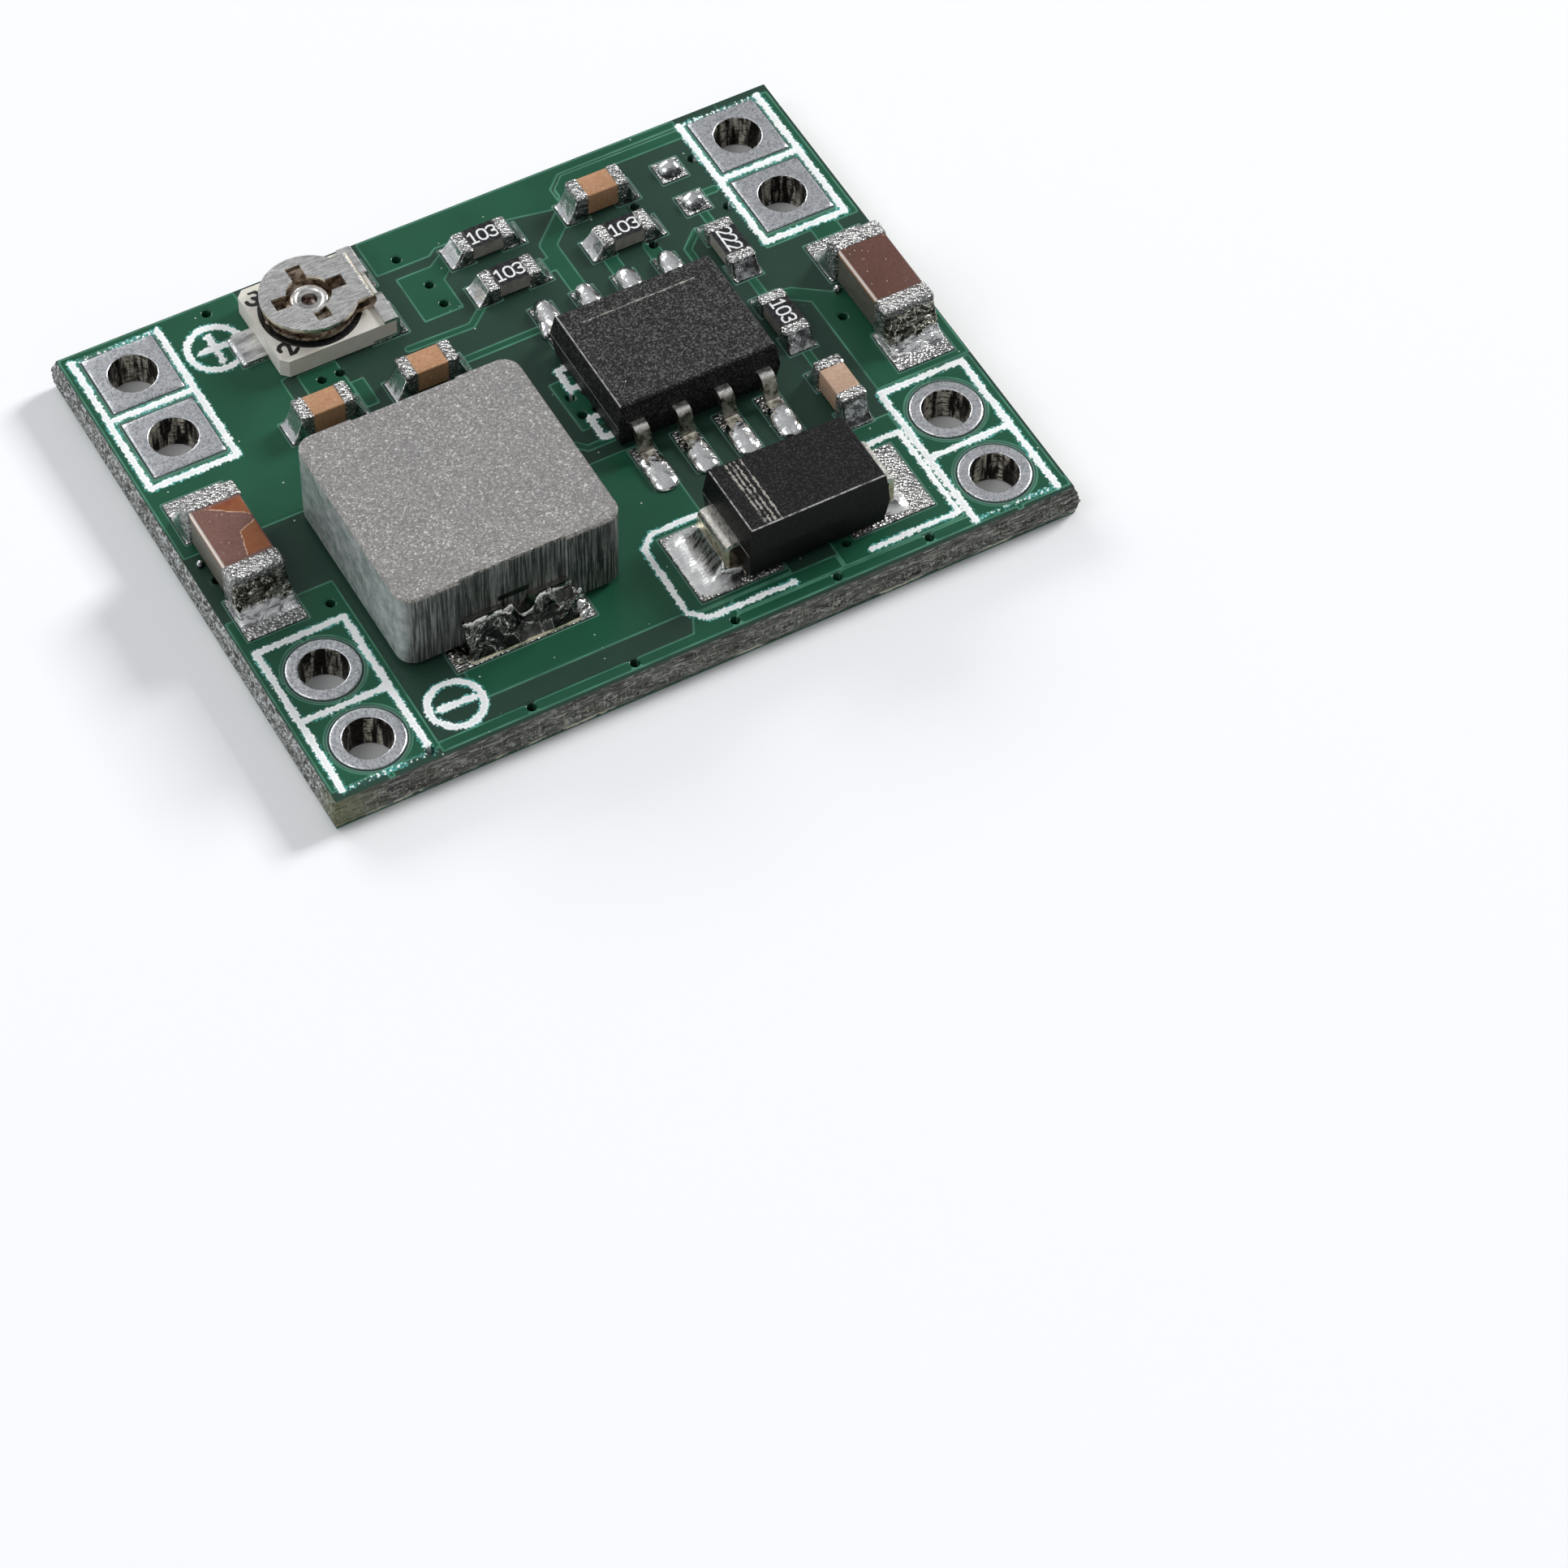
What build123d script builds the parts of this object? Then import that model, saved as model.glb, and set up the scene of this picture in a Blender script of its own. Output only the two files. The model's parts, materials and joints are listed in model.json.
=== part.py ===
from build123d import *
import math
import os

# Board sheet: the rim is the line where the score was snapped
board_length = 22.1
board_width = 17.14
board_thickness = 1.0
top_score_inset = 0.16
top_score_depth = 0.42
bottom_score_inset = 0.10
bottom_score_depth = 0.30

# Copper on both faces of the sheet, tinned
land_thickness = 0.05

# Wire holes: one pair near each corner, square lands for plus and round lands for minus
wire_hole_radius = 0.65
barrel_wall = 0.16
square_land = 2.1
round_land_radius = 1.0
hole_pitch = 2.54
hole_column_margin = 1.78
hole_pair_margin = 2.83

# Vias
via_radius = 0.15
via_wall = 0.06

# Inductor: places of all parts are from the board's middle, as shares of its length and width
inductor_x = -0.1932 * board_length
inductor_y = -0.1424 * board_width
core_length = 6.42
core_width = 6.26
core_height = 2.52
core_corner_radius = 0.5
core_top_edge = 0.06
coil_outer_radius = 2.35
coil_inner_radius = 1.2
coil_height = 1.1
coil_corner_radius = 0.15
coil_lead_width = 0.9
coil_lead_thickness = 0.2
inductor_strip = 0.15
inductor_strip_bend = 0.12
inductor_strip_clearance = 0.03
inductor_strip_width = 3.0
inductor_strip_top = 1.05
inductor_strip_foot = 1.5
inductor_recess = 0.1
inductor_notch_width = 0.75
inductor_notch_depth = 0.42
inductor_land_width = 4.05
inductor_land_reach = 0.6
inductor_solder_climb = 0.45

# Converter chip
chip_x = 0.1516 * board_length
chip_y = 0.0222 * board_width
chip_length = 4.9
chip_width = 3.9
chip_height = 1.52
chip_lead_level = 0.78
chip_draft = 8.0
chip_edge = 0.05
chip_leads_per_side = 4
chip_lead_pitch = 1.27
chip_lead_width = 0.41
chip_lead_thickness = 0.2
chip_lead_span = 6.0
chip_lead_foot = 0.55
chip_lead_shoulder = 0.25
chip_lead_bend = 0.16
chip_lead_anchor = 0.55
chip_land_width = 0.68
chip_land_reach = 0.62
chip_land_heel = 0.35
chip_solder_climb = 0.2
heat_pad_length = 3.3
heat_pad_width = 2.4
heat_pad_thickness = 0.2
chip_die_length = 1.9
chip_die_width = 1.5
chip_die_thickness = 0.28
chip_dimple_radius = 0.17
chip_dimple_depth = 0.04
chip_dimple_margin = 0.78

# Diode
diode_x = 0.1710 * board_length
diode_y = -0.3495 * board_width
diode_length = 4.2
diode_width = 2.55
diode_height = 2.0
diode_lead_level = 1.1
diode_standoff = 0.2
diode_draft = 6.0
diode_edge = 0.05
diode_span = 5.1
diode_lead_width = 1.45
diode_lead_thickness = 0.16
diode_lead_bend = 0.14
diode_lead_foot = 1.2
diode_lead_anchor = 0.75
diode_die_size = 1.3
diode_die_thickness = 0.3
diode_land_length = 2.45
diode_land_width = 2.4
diode_land_centre = 2.28
diode_land_shift = 0.06
diode_solder_climb = 0.75

# Trimmer: base on the board, rotor on the eyelet
trimmer_x = -0.1864 * board_length
trimmer_y = 0.3699 * board_width
trimmer_length = 3.4
trimmer_width = 2.94
trimmer_base_height = 0.6
trimmer_corner = 0.2
trimmer_axis_offset = 0.16
track_outer_radius = 1.42
track_inner_radius = 0.95
track_thickness = 0.03
track_opening = 70.0
trimmer_strip = 0.1
trimmer_strip_bend = 0.07
end_terminal_width = 1.05
end_terminal_spacing = 1.9
end_terminal_tab = 0.35
end_terminal_foot = 0.7
wiper_terminal_width = 1.1
wiper_terminal_reach = 0.62
eyelet_radius = 0.34
eyelet_bore = 0.22
eyelet_flange_radius = 0.52
eyelet_flange_thickness = 0.08
rotor_radius = 1.36
rotor_lower_radius = 1.3
rotor_height = 0.5
rotor_top_plate = 0.15
rotor_lower_plate = 0.12
rotor_fold_reach = 1.6
rotor_fold_width = 1.72
rotor_slot_radius = 0.62
rotor_slot_reach = 1.04
rotor_slot_width = 0.42
rotor_contact_radius = 0.14
rotor_clearance = 0.03
trimmer_end_land_reach = 0.24
trimmer_wiper_land_reach = 0.12

# Small chips
small_length = 1.6
small_width = 0.8
small_cap_height = 0.8
small_resistor_height = 0.45
small_end = 0.36
small_end_edge = 0.06
small_land_width = 0.82
small_land_reach = 0.34
small_solder_climb = 0.36

# Large capacitors
large_length = 3.2
large_width = 1.6
large_height = 1.25
large_end = 0.5
large_end_edge = 0.08
large_land_width = 1.72
large_land_reach = 0.0583 * board_width
large_solder_climb = 0.6
large_cap_margin = 1.35
large_cap_y = -0.0076 * board_width

# Plating on a chip's ends stands out from its block by this much
end_wall = 0.03

# A solder fillet's face rises by this power of the way in, in flat steps
solder_curve = 1.7
solder_steps = 4

# Small chips: name, shares of the board's length and width, quarter turns from lying along X
small_capacitors = (
    ("output_filter_capacitor", -0.2480, 0.1809, 0),
    ("feedback_capacitor", -0.1086, 0.1809, 0),
    ("compensation_capacitor", 0.2095, 0.3874, 0),
    ("bootstrap_capacitor", 0.3149, -0.1599, 1),
)
small_resistors = (
    ("upper_feedback_resistor", 0.0498, 0.3891, 0),
    ("lower_feedback_resistor", 0.0498, 0.2975, 0),
    ("compensation_resistor", 0.2095, 0.2970, 0),
    ("enable_resistor", 0.3149, 0.1931, 1),
    ("frequency_resistor", 0.3149, 0.0181, 1),
)
empty_place_x = 0.3149 * board_length
empty_place_y = 0.3530 * board_width
empty_place_pitch = 1.38
empty_land = 0.78
solder_bump_height = 0.28

# Vias, as shares of the board's length and width, grouped by what they serve
edge_via_margin = 0.47
edge_via_places = (-0.3647, -0.2330, -0.0973, 0.0362, 0.1742, 0.3000)
via_places = (
    (-0.3683, -0.1511),
    (-0.4697, -0.0292), (-0.4344, -0.0292), (-0.3964, -0.0292),
    (-0.2262, 0.1330), (-0.1959, 0.1330),
    (-0.2226, 0.2573), (-0.1982, 0.2573),
    (-0.0357, 0.3098), (-0.0376, 0.3559), (-0.0543, 0.4288), (-0.2991, 0.4685),
    (0.0285, -0.0012), (0.0489, -0.0012), (0.0285, 0.0397), (0.0498, 0.0397),
    (0.2090, -0.4212), (0.2095, -0.3617), (0.2095, -0.3057),
    (0.2367, 0.2625), (0.2466, 0.3501),
    (0.3493, 0.2800), (0.3493, 0.3991),
    (0.3846, -0.0152), (0.4335, -0.0152), (0.4615, -0.0152),
)

# Levels that follow from the sizes above
sheet_bottom = land_thickness
sheet_top = sheet_bottom + board_thickness
seat = sheet_top + land_thickness
hole_column = board_length / 2 - hole_column_margin
hole_pair = board_width / 2 - hole_pair_margin
barrel_radius = wire_hole_radius + barrel_wall
large_cap_x = board_length / 2 - large_cap_margin
edge_via_y = edge_via_margin - board_width / 2

ON_FLOOR = (Align.CENTER, Align.CENTER, Align.MIN)
FROM_LEFT = (Align.MIN, Align.CENTER, Align.MIN)

parts = {}


def frustum(length, width, level, height, draft):
    """A drafted slab from one level, up for a positive height and down for a negative one."""
    return extrude(Plane.XY.offset(level) * Rectangle(length, width), amount=height, taper=draft)


def drill(x, y, radius):
    return Pos(x, y, sheet_bottom) * Cylinder(radius, board_thickness, align=ON_FLOOR)


def via_centres():
    edge_row = [(x * board_length, edge_via_y) for x in edge_via_places]
    return edge_row + [(x * board_length, y * board_width) for x, y in via_places]


def wire_holes():
    """Name, X, Y and kind of land of the eight wire holes."""
    holes = []
    for side, x in (("out", -hole_column), ("in", hole_column)):
        for sign, y, square in (("plus", hole_pair, True), ("minus", -hole_pair, False)):
            for number, step in ((1, 1), (2, -1)):
                holes.append((f"{side}_{sign}_land_{number}", x, y + step * hole_pitch / 2, square))
    return holes


def board_sheet():
    rim_level = sheet_top - top_score_depth
    lower_level = sheet_bottom + bottom_score_depth
    top_draft = math.degrees(math.atan2(top_score_inset, top_score_depth))
    bottom_draft = math.degrees(math.atan2(bottom_score_inset, bottom_score_depth))
    sheet = frustum(board_length, board_width, rim_level, top_score_depth, top_draft)
    sheet += frustum(board_length, board_width, lower_level, rim_level - lower_level, 0)
    sheet += frustum(board_length, board_width, lower_level, -bottom_score_depth, bottom_draft)
    for name, x, y, square in wire_holes():
        sheet -= drill(x, y, barrel_radius)
    for x, y in via_centres():
        sheet -= drill(x, y, via_radius + via_wall)
    return sheet


def wire_land(x, y, square):
    """A plated hole: a barrel through the sheet with a land on each face."""
    outline = Rectangle(square_land, square_land) if square else Circle(round_land_radius)
    land = extrude(Pos(x, y, sheet_top) * outline, amount=land_thickness)
    land += extrude(Pos(x, y, 0) * outline, amount=land_thickness)
    land += drill(x, y, barrel_radius)
    land -= Pos(x, y, 0) * Cylinder(wire_hole_radius, seat, align=ON_FLOOR)
    return land


def vias():
    tubes = []
    for x, y in via_centres():
        tubes.append(drill(x, y, via_radius + via_wall) - drill(x, y, via_radius))
    return Compound(children=tubes)


def solder_joint(inner, outer, face, width, climb):
    """A land from inner to outer along +X, with a fillet that climbs a face and thins outward."""
    land = Pos(inner, 0, -land_thickness) * Box(outer - inner, width, land_thickness, align=FROM_LEFT)
    corners = [(face, 0)]
    for step in range(solder_steps + 1):
        way = step / solder_steps
        corners.append((outer - way * (outer - face), climb * way ** solder_curve))
    profile = Plane.XZ * Polygon(*corners, align=None)
    return land + extrude(profile, amount=width / 2, both=True)


def place(shape, x, y, quarter_turns=0):
    return Pos(x, y, seat) * Rot(0, 0, 90 * quarter_turns) * shape


def chip_block(length, width, height, end, edge, coat):
    """A small chip along X on its seat: a block, and two plated ends that wrap it."""
    block_length = length - 2 * end_wall
    block_width = width - 2 * end_wall
    block = Pos(0, 0, end_wall) * Box(block_length, block_width, height - 2 * end_wall, align=ON_FLOOR)
    ends = []
    for side in (-1, 1):
        cap = Pos(side * (length - end) / 2, 0, 0) * Box(end, width, height, align=ON_FLOOR)
        outer = cap.edges().filter_by(lambda e: side * e.center().X > length / 2 - end / 4)
        ends.append(fillet(outer, edge) - block)
    if coat:
        raised = Box(length - 2 * end, block_width, end_wall, align=ON_FLOOR)
        block += Pos(0, 0, height - end_wall) * raised
    return block, ends


def chip_joints(length, height, land_width, reach, end, climb):
    """The two solder joints of a chip that lies along X."""
    half = length / 2
    joint = solder_joint(half - end, half + reach, half, land_width, min(climb, height))
    return [joint, Rot(0, 0, 180) * joint]


def add_chip(name, x, y, turns, size, height, coat, joints):
    length, width, end, edge, land_width, reach, climb = size
    block, ends = chip_block(length, width, height, end, edge, coat)
    parts[name + "_block"] = place(block, x, y, turns)
    parts[name + "_ends"] = Compound(children=[place(cap, x, y, turns) for cap in ends])
    for joint in chip_joints(length, height, land_width, reach, end, climb):
        joints.append(place(joint, x, y, turns))


def inductor_coil():
    """The winding with its two flat leads that come down inside the strips."""
    level = inductor_strip + (core_height - coil_height) / 2
    ring = Pos(0, 0, level) * Cylinder(coil_outer_radius, coil_height, align=ON_FLOOR)
    ring = fillet(ring.edges(), coil_corner_radius)
    ring -= Pos(0, 0, level) * Cylinder(coil_inner_radius, coil_height, align=ON_FLOOR)
    reach = strip_plane()
    lead_level = level + coil_height / 4
    for side in (-1, 1):
        start = coil_inner_radius + (coil_outer_radius - coil_inner_radius) / 2
        lead = Pos(0, side * (start + reach) / 2, lead_level)
        ring += lead * Box(coil_lead_width, reach - start, coil_lead_thickness, align=ON_FLOOR)
    return ring


def strip_plane():
    """How far from the core's middle the bottoms of its end recesses lie."""
    return core_width / 2 - inductor_recess


def inductor_strip_solid():
    """A flat strip down the +Y end of the core and under it, with a notch in its top edge."""
    wall = strip_plane() + inductor_strip / 2
    path = FilletPolyline((wall - inductor_strip_foot, inductor_strip / 2), (wall, inductor_strip / 2),
                          (wall, inductor_strip_top), radius=inductor_strip_bend)
    profile = trace(path, line_width=inductor_strip)
    strip = extrude(Plane.YZ * profile, amount=inductor_strip_width / 2, both=True)
    notch_radius = inductor_notch_width / 2
    notch_level = inductor_strip_top - inductor_notch_depth + notch_radius
    notch = Rot(90, 0, 0) * Cylinder(notch_radius, 2 * inductor_strip)
    notch += Box(inductor_notch_width, 2 * inductor_strip, inductor_notch_depth, align=ON_FLOOR)
    return strip - Pos(0, wall, notch_level) * notch


def inductor():
    core = Pos(0, 0, inductor_strip) * Box(core_length, core_width, core_height, align=ON_FLOOR)
    core = fillet(core.edges().filter_by(Axis.Z), core_corner_radius)
    core = chamfer(core.edges().group_by(Axis.Z)[-1], core_top_edge)
    coil = inductor_coil()
    strip = inductor_strip_solid()
    recess_width = inductor_strip_width + 2 * inductor_strip_clearance
    for side in (-1, 1):
        recess = Pos(0, side * core_width / 2, 0)
        core -= recess * Box(recess_width, 2 * inductor_recess, core_height + inductor_strip, align=ON_FLOOR)
    core = core - coil - strip - Rot(0, 0, 180) * strip
    ends = (("far", 0), ("near", 2))
    parts["inductor_core"] = place(core, inductor_x, inductor_y)
    parts["inductor_coil"] = place(coil - strip - Rot(0, 0, 180) * strip, inductor_x, inductor_y)
    joints = []
    for name, turns in ends:
        parts["inductor_terminal_" + name] = place(strip, inductor_x, inductor_y, turns)
        outer_face = strip_plane() + inductor_strip
        joint = solder_joint(outer_face - inductor_strip_foot, outer_face + inductor_land_reach, outer_face,
                             inductor_land_width, inductor_solder_climb)
        joints.append(place(joint, inductor_x, inductor_y, turns + 1))
    return joints


def moulded_body(length, width, bottom, level, top, draft, edge):
    """A moulded block, widest at its parting line, with its top edges broken."""
    side_height = top - edge - level
    inset = side_height * math.tan(math.radians(draft))
    body = frustum(length, width, level, side_height, draft)
    body += frustum(length - 2 * inset, width - 2 * inset, level + side_height, edge, 45)
    return body + frustum(length, width, level, bottom - level, draft)


def chip_lead():
    """A gull-wing lead towards +Y, its foot flat on the seat."""
    foot_level = chip_lead_thickness / 2
    toe = chip_lead_span / 2
    edge = chip_width / 2
    inner_end = (edge - chip_lead_anchor, chip_lead_level)
    shoulder = (edge + chip_lead_shoulder, chip_lead_level)
    heel = (toe - chip_lead_foot, foot_level)
    path = FilletPolyline(inner_end, shoulder, heel, (toe, foot_level), radius=chip_lead_bend)
    profile = trace(path, line_width=chip_lead_thickness)
    return extrude(Plane.YZ * profile, amount=chip_lead_width / 2, both=True)


def converter_chip():
    body = moulded_body(chip_length, chip_width, 0, chip_lead_level, chip_height, chip_draft, chip_edge)
    heat_pad = Box(heat_pad_length, heat_pad_width, heat_pad_thickness, align=ON_FLOOR)
    die = Pos(0, 0, heat_pad_thickness)
    die = die * Box(chip_die_length, chip_die_width, chip_die_thickness, align=ON_FLOOR)
    dimple_x = chip_dimple_margin - chip_length / 2
    dimple_y = chip_dimple_margin - chip_width / 2
    dimple = Pos(dimple_x, dimple_y, chip_height - chip_dimple_depth)
    body -= dimple * Cylinder(chip_dimple_radius, chip_dimple_depth, align=ON_FLOOR)
    body -= heat_pad
    body -= die
    toe = chip_lead_span / 2
    heel = toe - chip_lead_foot - chip_land_heel
    joint = solder_joint(heel, toe + chip_land_reach, toe, chip_land_width, chip_solder_climb)
    joints = []
    row_start = -(chip_leads_per_side - 1) * chip_lead_pitch / 2
    number = 1
    for turns in (0, 2):
        for step in range(chip_leads_per_side):
            offset = row_start + step * chip_lead_pitch
            stand = Rot(0, 0, 90 * (turns + 2)) * Pos(offset, 0, 0)
            lead = stand * chip_lead()
            body -= lead
            parts[f"chip_lead_{number}"] = place(lead, chip_x, chip_y)
            joints.append(place(stand * Rot(0, 0, 90) * joint, chip_x, chip_y))
            number += 1
    parts["chip_body"] = place(body, chip_x, chip_y)
    parts["chip_die"] = place(die, chip_x, chip_y)
    parts["chip_heat_pad"] = place(heat_pad, chip_x, chip_y)
    heat_land = Pos(0, 0, -land_thickness)
    heat_land = heat_land * Box(heat_pad_length, heat_pad_width, land_thickness, align=ON_FLOOR)
    joints.append(place(heat_land, chip_x, chip_y))
    return joints


def diode_lead(inner_level):
    """A folded strip lead towards +X: out at the parting line, down, and under the body."""
    half = diode_lead_thickness / 2
    wall = diode_span / 2 - half
    path = FilletPolyline((diode_length / 2 - diode_lead_anchor, inner_level), (wall, inner_level),
                          (wall, half), (wall - diode_lead_foot, half), radius=diode_lead_bend)
    profile = trace(path, line_width=diode_lead_thickness)
    return extrude(Plane.XZ * profile, amount=diode_lead_width / 2, both=True)


def diode():
    body = moulded_body(diode_length, diode_width, diode_standoff, diode_lead_level, diode_height,
                        diode_draft, diode_edge)
    die = Pos(0, 0, diode_lead_level - diode_die_thickness / 2)
    die = die * Box(diode_die_size, diode_die_size, diode_die_thickness, align=ON_FLOOR)
    body -= die
    anode = diode_lead(diode_lead_level)
    cathode = Rot(0, 0, 180) * anode
    body = body - anode - cathode
    parts["diode_body"] = place(body, diode_x, diode_y)
    parts["diode_die"] = place(die, diode_x, diode_y)
    parts["diode_cathode_lead"] = place(cathode, diode_x, diode_y)
    parts["diode_anode_lead"] = place(anode, diode_x, diode_y)
    joints = []
    for side, turns in ((-1, 2), (1, 0)):
        face = diode_span / 2 - side * diode_land_shift
        inner = diode_land_centre - diode_land_length / 2
        joint = solder_joint(inner, diode_land_centre + diode_land_length / 2, face,
                             diode_land_width, diode_solder_climb)
        joints.append(place(joint, diode_x + diode_land_shift, diode_y, turns))
    return joints


def trimmer_rotor():
    """A strip folded over at +X: a lower ring round the eyelet and a slotted disc above it."""
    lower = trimmer_base_height + track_thickness + rotor_clearance + rotor_contact_radius / 2
    top = lower + rotor_height
    bend = rotor_height / 2
    fold_start = rotor_fold_reach - bend
    fold = Pos(fold_start, 0, lower + bend) * Rot(90, 0, 0)
    rotor = fold * Cylinder(bend, rotor_fold_width)
    inner_bend = bend - (rotor_top_plate + rotor_lower_plate) / 2
    rotor -= fold * Cylinder(inner_bend, rotor_fold_width)
    rotor -= Pos(fold_start, 0, lower) * Box(2 * bend, rotor_fold_width, rotor_height,
                                             align=(Align.MAX, Align.CENTER, Align.MIN))
    lower_plate = (lower, rotor_lower_plate, rotor_lower_radius)
    top_plate = (top - rotor_top_plate, rotor_top_plate, rotor_radius)
    for level, thickness, radius in (lower_plate, top_plate):
        disc = Circle(radius) + Pos(fold_start / 2, 0) * Rectangle(fold_start, rotor_fold_width)
        rotor += extrude(Plane.XY.offset(level) * disc, amount=thickness)
    rotor -= Pos(0, 0, lower) * Cylinder(eyelet_radius + rotor_clearance, rotor_lower_plate, align=ON_FLOOR)
    slot = Circle(rotor_slot_radius) + Rectangle(2 * rotor_slot_reach, rotor_slot_width)
    slot += Rectangle(rotor_slot_width, 2 * rotor_slot_reach)
    rotor -= extrude(Plane.XY.offset(top - rotor_top_plate) * slot, amount=rotor_top_plate)
    contact_centre = (track_outer_radius + track_inner_radius) / 2
    contact = Pos(-contact_centre, 0, lower) * Sphere(rotor_contact_radius)
    contact &= Pos(-contact_centre, 0, lower - rotor_contact_radius / 2) * Box(
        2 * rotor_contact_radius, 2 * rotor_contact_radius, rotor_contact_radius / 2, align=ON_FLOOR)
    return rotor + contact


def trimmer():
    base = Box(trimmer_length, trimmer_width, trimmer_base_height, align=ON_FLOOR)
    left = base.edges().filter_by(Axis.Z).group_by(Axis.X)[0]
    base = chamfer(left, trimmer_corner)
    axis_x = -trimmer_axis_offset
    track = Circle(track_outer_radius) - Circle(track_inner_radius)
    wedge_reach = 2 * track_outer_radius
    wedge_half = wedge_reach * math.tan(math.radians(track_opening / 2))
    track -= Polygon((0, 0), (wedge_reach, -wedge_half), (wedge_reach, wedge_half), align=None)
    track = Pos(axis_x, 0, trimmer_base_height) * extrude(track, amount=track_thickness)

    edge = trimmer_length / 2
    outer = edge + trimmer_strip / 2
    top_tab = trimmer_base_height + trimmer_strip / 2
    foot = trimmer_strip / 2
    end_path = FilletPolyline((edge - end_terminal_tab, top_tab), (outer, top_tab), (outer, foot),
                              (edge - end_terminal_foot, foot), radius=trimmer_strip_bend)
    profile = trace(end_path, line_width=trimmer_strip)
    end_terminal = extrude(Plane.XZ * profile, amount=end_terminal_width / 2, both=True)
    wiper = Pos(-edge - wiper_terminal_reach, 0, 0)
    wiper_length = edge + wiper_terminal_reach + axis_x + eyelet_flange_radius
    wiper = wiper * Box(wiper_length, wiper_terminal_width, trimmer_strip, align=FROM_LEFT)
    rotor_seat = trimmer_base_height + track_thickness + rotor_clearance + rotor_contact_radius / 2
    flange_level = rotor_seat + rotor_lower_plate + rotor_clearance
    eyelet_height = flange_level + eyelet_flange_thickness
    axis = Pos(axis_x, 0, 0)
    wiper += axis * Cylinder(eyelet_radius, eyelet_height, align=ON_FLOOR)
    flange = Cylinder(eyelet_flange_radius, eyelet_flange_thickness, align=ON_FLOOR)
    wiper += Pos(0, 0, flange_level) * axis * flange
    wiper -= axis * Cylinder(eyelet_bore, eyelet_height, align=ON_FLOOR)
    base -= wiper
    base -= axis * Cylinder(eyelet_radius, trimmer_base_height, align=ON_FLOOR)

    joints = []
    for name, side in (("near", -1), ("far", 1)):
        terminal = Pos(0, side * end_terminal_spacing / 2, 0) * end_terminal
        base -= terminal
        track -= terminal
        parts["trimmer_end_terminal_" + name] = place(terminal, trimmer_x, trimmer_y)
        joint = solder_joint(edge - end_terminal_foot, edge + trimmer_strip + trimmer_end_land_reach,
                             edge + trimmer_strip, end_terminal_width, trimmer_strip)
        joints.append(place(Pos(0, side * end_terminal_spacing / 2, 0) * joint, trimmer_x, trimmer_y))
    reach = edge + wiper_terminal_reach
    wiper_joint = solder_joint(edge - end_terminal_foot, reach + trimmer_wiper_land_reach, reach,
                               wiper_terminal_width, trimmer_strip / 2)
    joints.append(place(wiper_joint, trimmer_x, trimmer_y, 2))
    parts["trimmer_base"] = place(base, trimmer_x, trimmer_y)
    parts["trimmer_track"] = place(track, trimmer_x, trimmer_y)
    parts["trimmer_wiper_terminal"] = place(wiper, trimmer_x, trimmer_y)
    parts["trimmer_rotor"] = place(trimmer_rotor(), trimmer_x + axis_x, trimmer_y)
    return joints


def solder_bump():
    """A domed bump of solder on a bare square land."""
    half = empty_land / 2
    radius = (half ** 2 + solder_bump_height ** 2) / (2 * solder_bump_height)
    land = Pos(0, 0, -land_thickness) * Box(empty_land, empty_land, land_thickness, align=ON_FLOOR)
    dome = Pos(0, 0, solder_bump_height - radius) * Sphere(radius)
    dome &= Box(empty_land, empty_land, solder_bump_height, align=ON_FLOOR)
    return land + dome


def main():
    os.makedirs("parts", exist_ok=True)
    parts["board_sheet"] = board_sheet()
    parts["vias"] = vias()
    for name, x, y, square in wire_holes():
        parts[name] = wire_land(x, y, square)
    joints = inductor() + converter_chip() + diode() + trimmer()

    small = (small_length, small_width, small_end, small_end_edge, small_land_width, small_land_reach,
             small_solder_climb)
    large = (large_length, large_width, large_end, large_end_edge, large_land_width, large_land_reach,
             large_solder_climb)
    for table, height, coat in ((small_capacitors, small_cap_height, False),
                                (small_resistors, small_resistor_height, True)):
        for name, x, y, turns in table:
            add_chip(name, x * board_length, y * board_width, turns, small, height, coat, joints)
    for name, side in (("output_capacitor", -1), ("input_capacitor", 1)):
        add_chip(name, side * large_cap_x, large_cap_y, 1, large, large_height, False, joints)
    for side in (-1, 1):
        joints.append(place(solder_bump(), empty_place_x, empty_place_y + side * empty_place_pitch / 2))

    parts["solder_joints"] = Compound(children=joints)
    for name, shape in parts.items():
        export_step(shape, f"parts/{name}.step")


main()
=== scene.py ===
import json
import math

import bpy
import numpy as np
from mathutils import Matrix


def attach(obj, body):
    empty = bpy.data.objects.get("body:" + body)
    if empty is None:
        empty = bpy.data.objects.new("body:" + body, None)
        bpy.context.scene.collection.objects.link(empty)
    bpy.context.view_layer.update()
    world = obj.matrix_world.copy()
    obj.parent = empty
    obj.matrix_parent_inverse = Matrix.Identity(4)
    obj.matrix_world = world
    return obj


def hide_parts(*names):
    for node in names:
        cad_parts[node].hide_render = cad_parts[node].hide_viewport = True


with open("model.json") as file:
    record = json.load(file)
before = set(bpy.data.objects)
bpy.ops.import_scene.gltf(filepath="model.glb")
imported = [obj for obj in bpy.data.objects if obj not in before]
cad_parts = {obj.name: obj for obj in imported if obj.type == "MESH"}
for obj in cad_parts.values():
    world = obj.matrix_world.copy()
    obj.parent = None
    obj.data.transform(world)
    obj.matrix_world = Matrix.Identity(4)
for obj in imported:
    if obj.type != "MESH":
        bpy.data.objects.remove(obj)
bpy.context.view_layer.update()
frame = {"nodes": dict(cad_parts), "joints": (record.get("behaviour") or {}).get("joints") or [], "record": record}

# Sizes and places are in millimetres here, but for the floor's and the lamps', which are in metres
MM = 0.001


# Places from the frame

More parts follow.
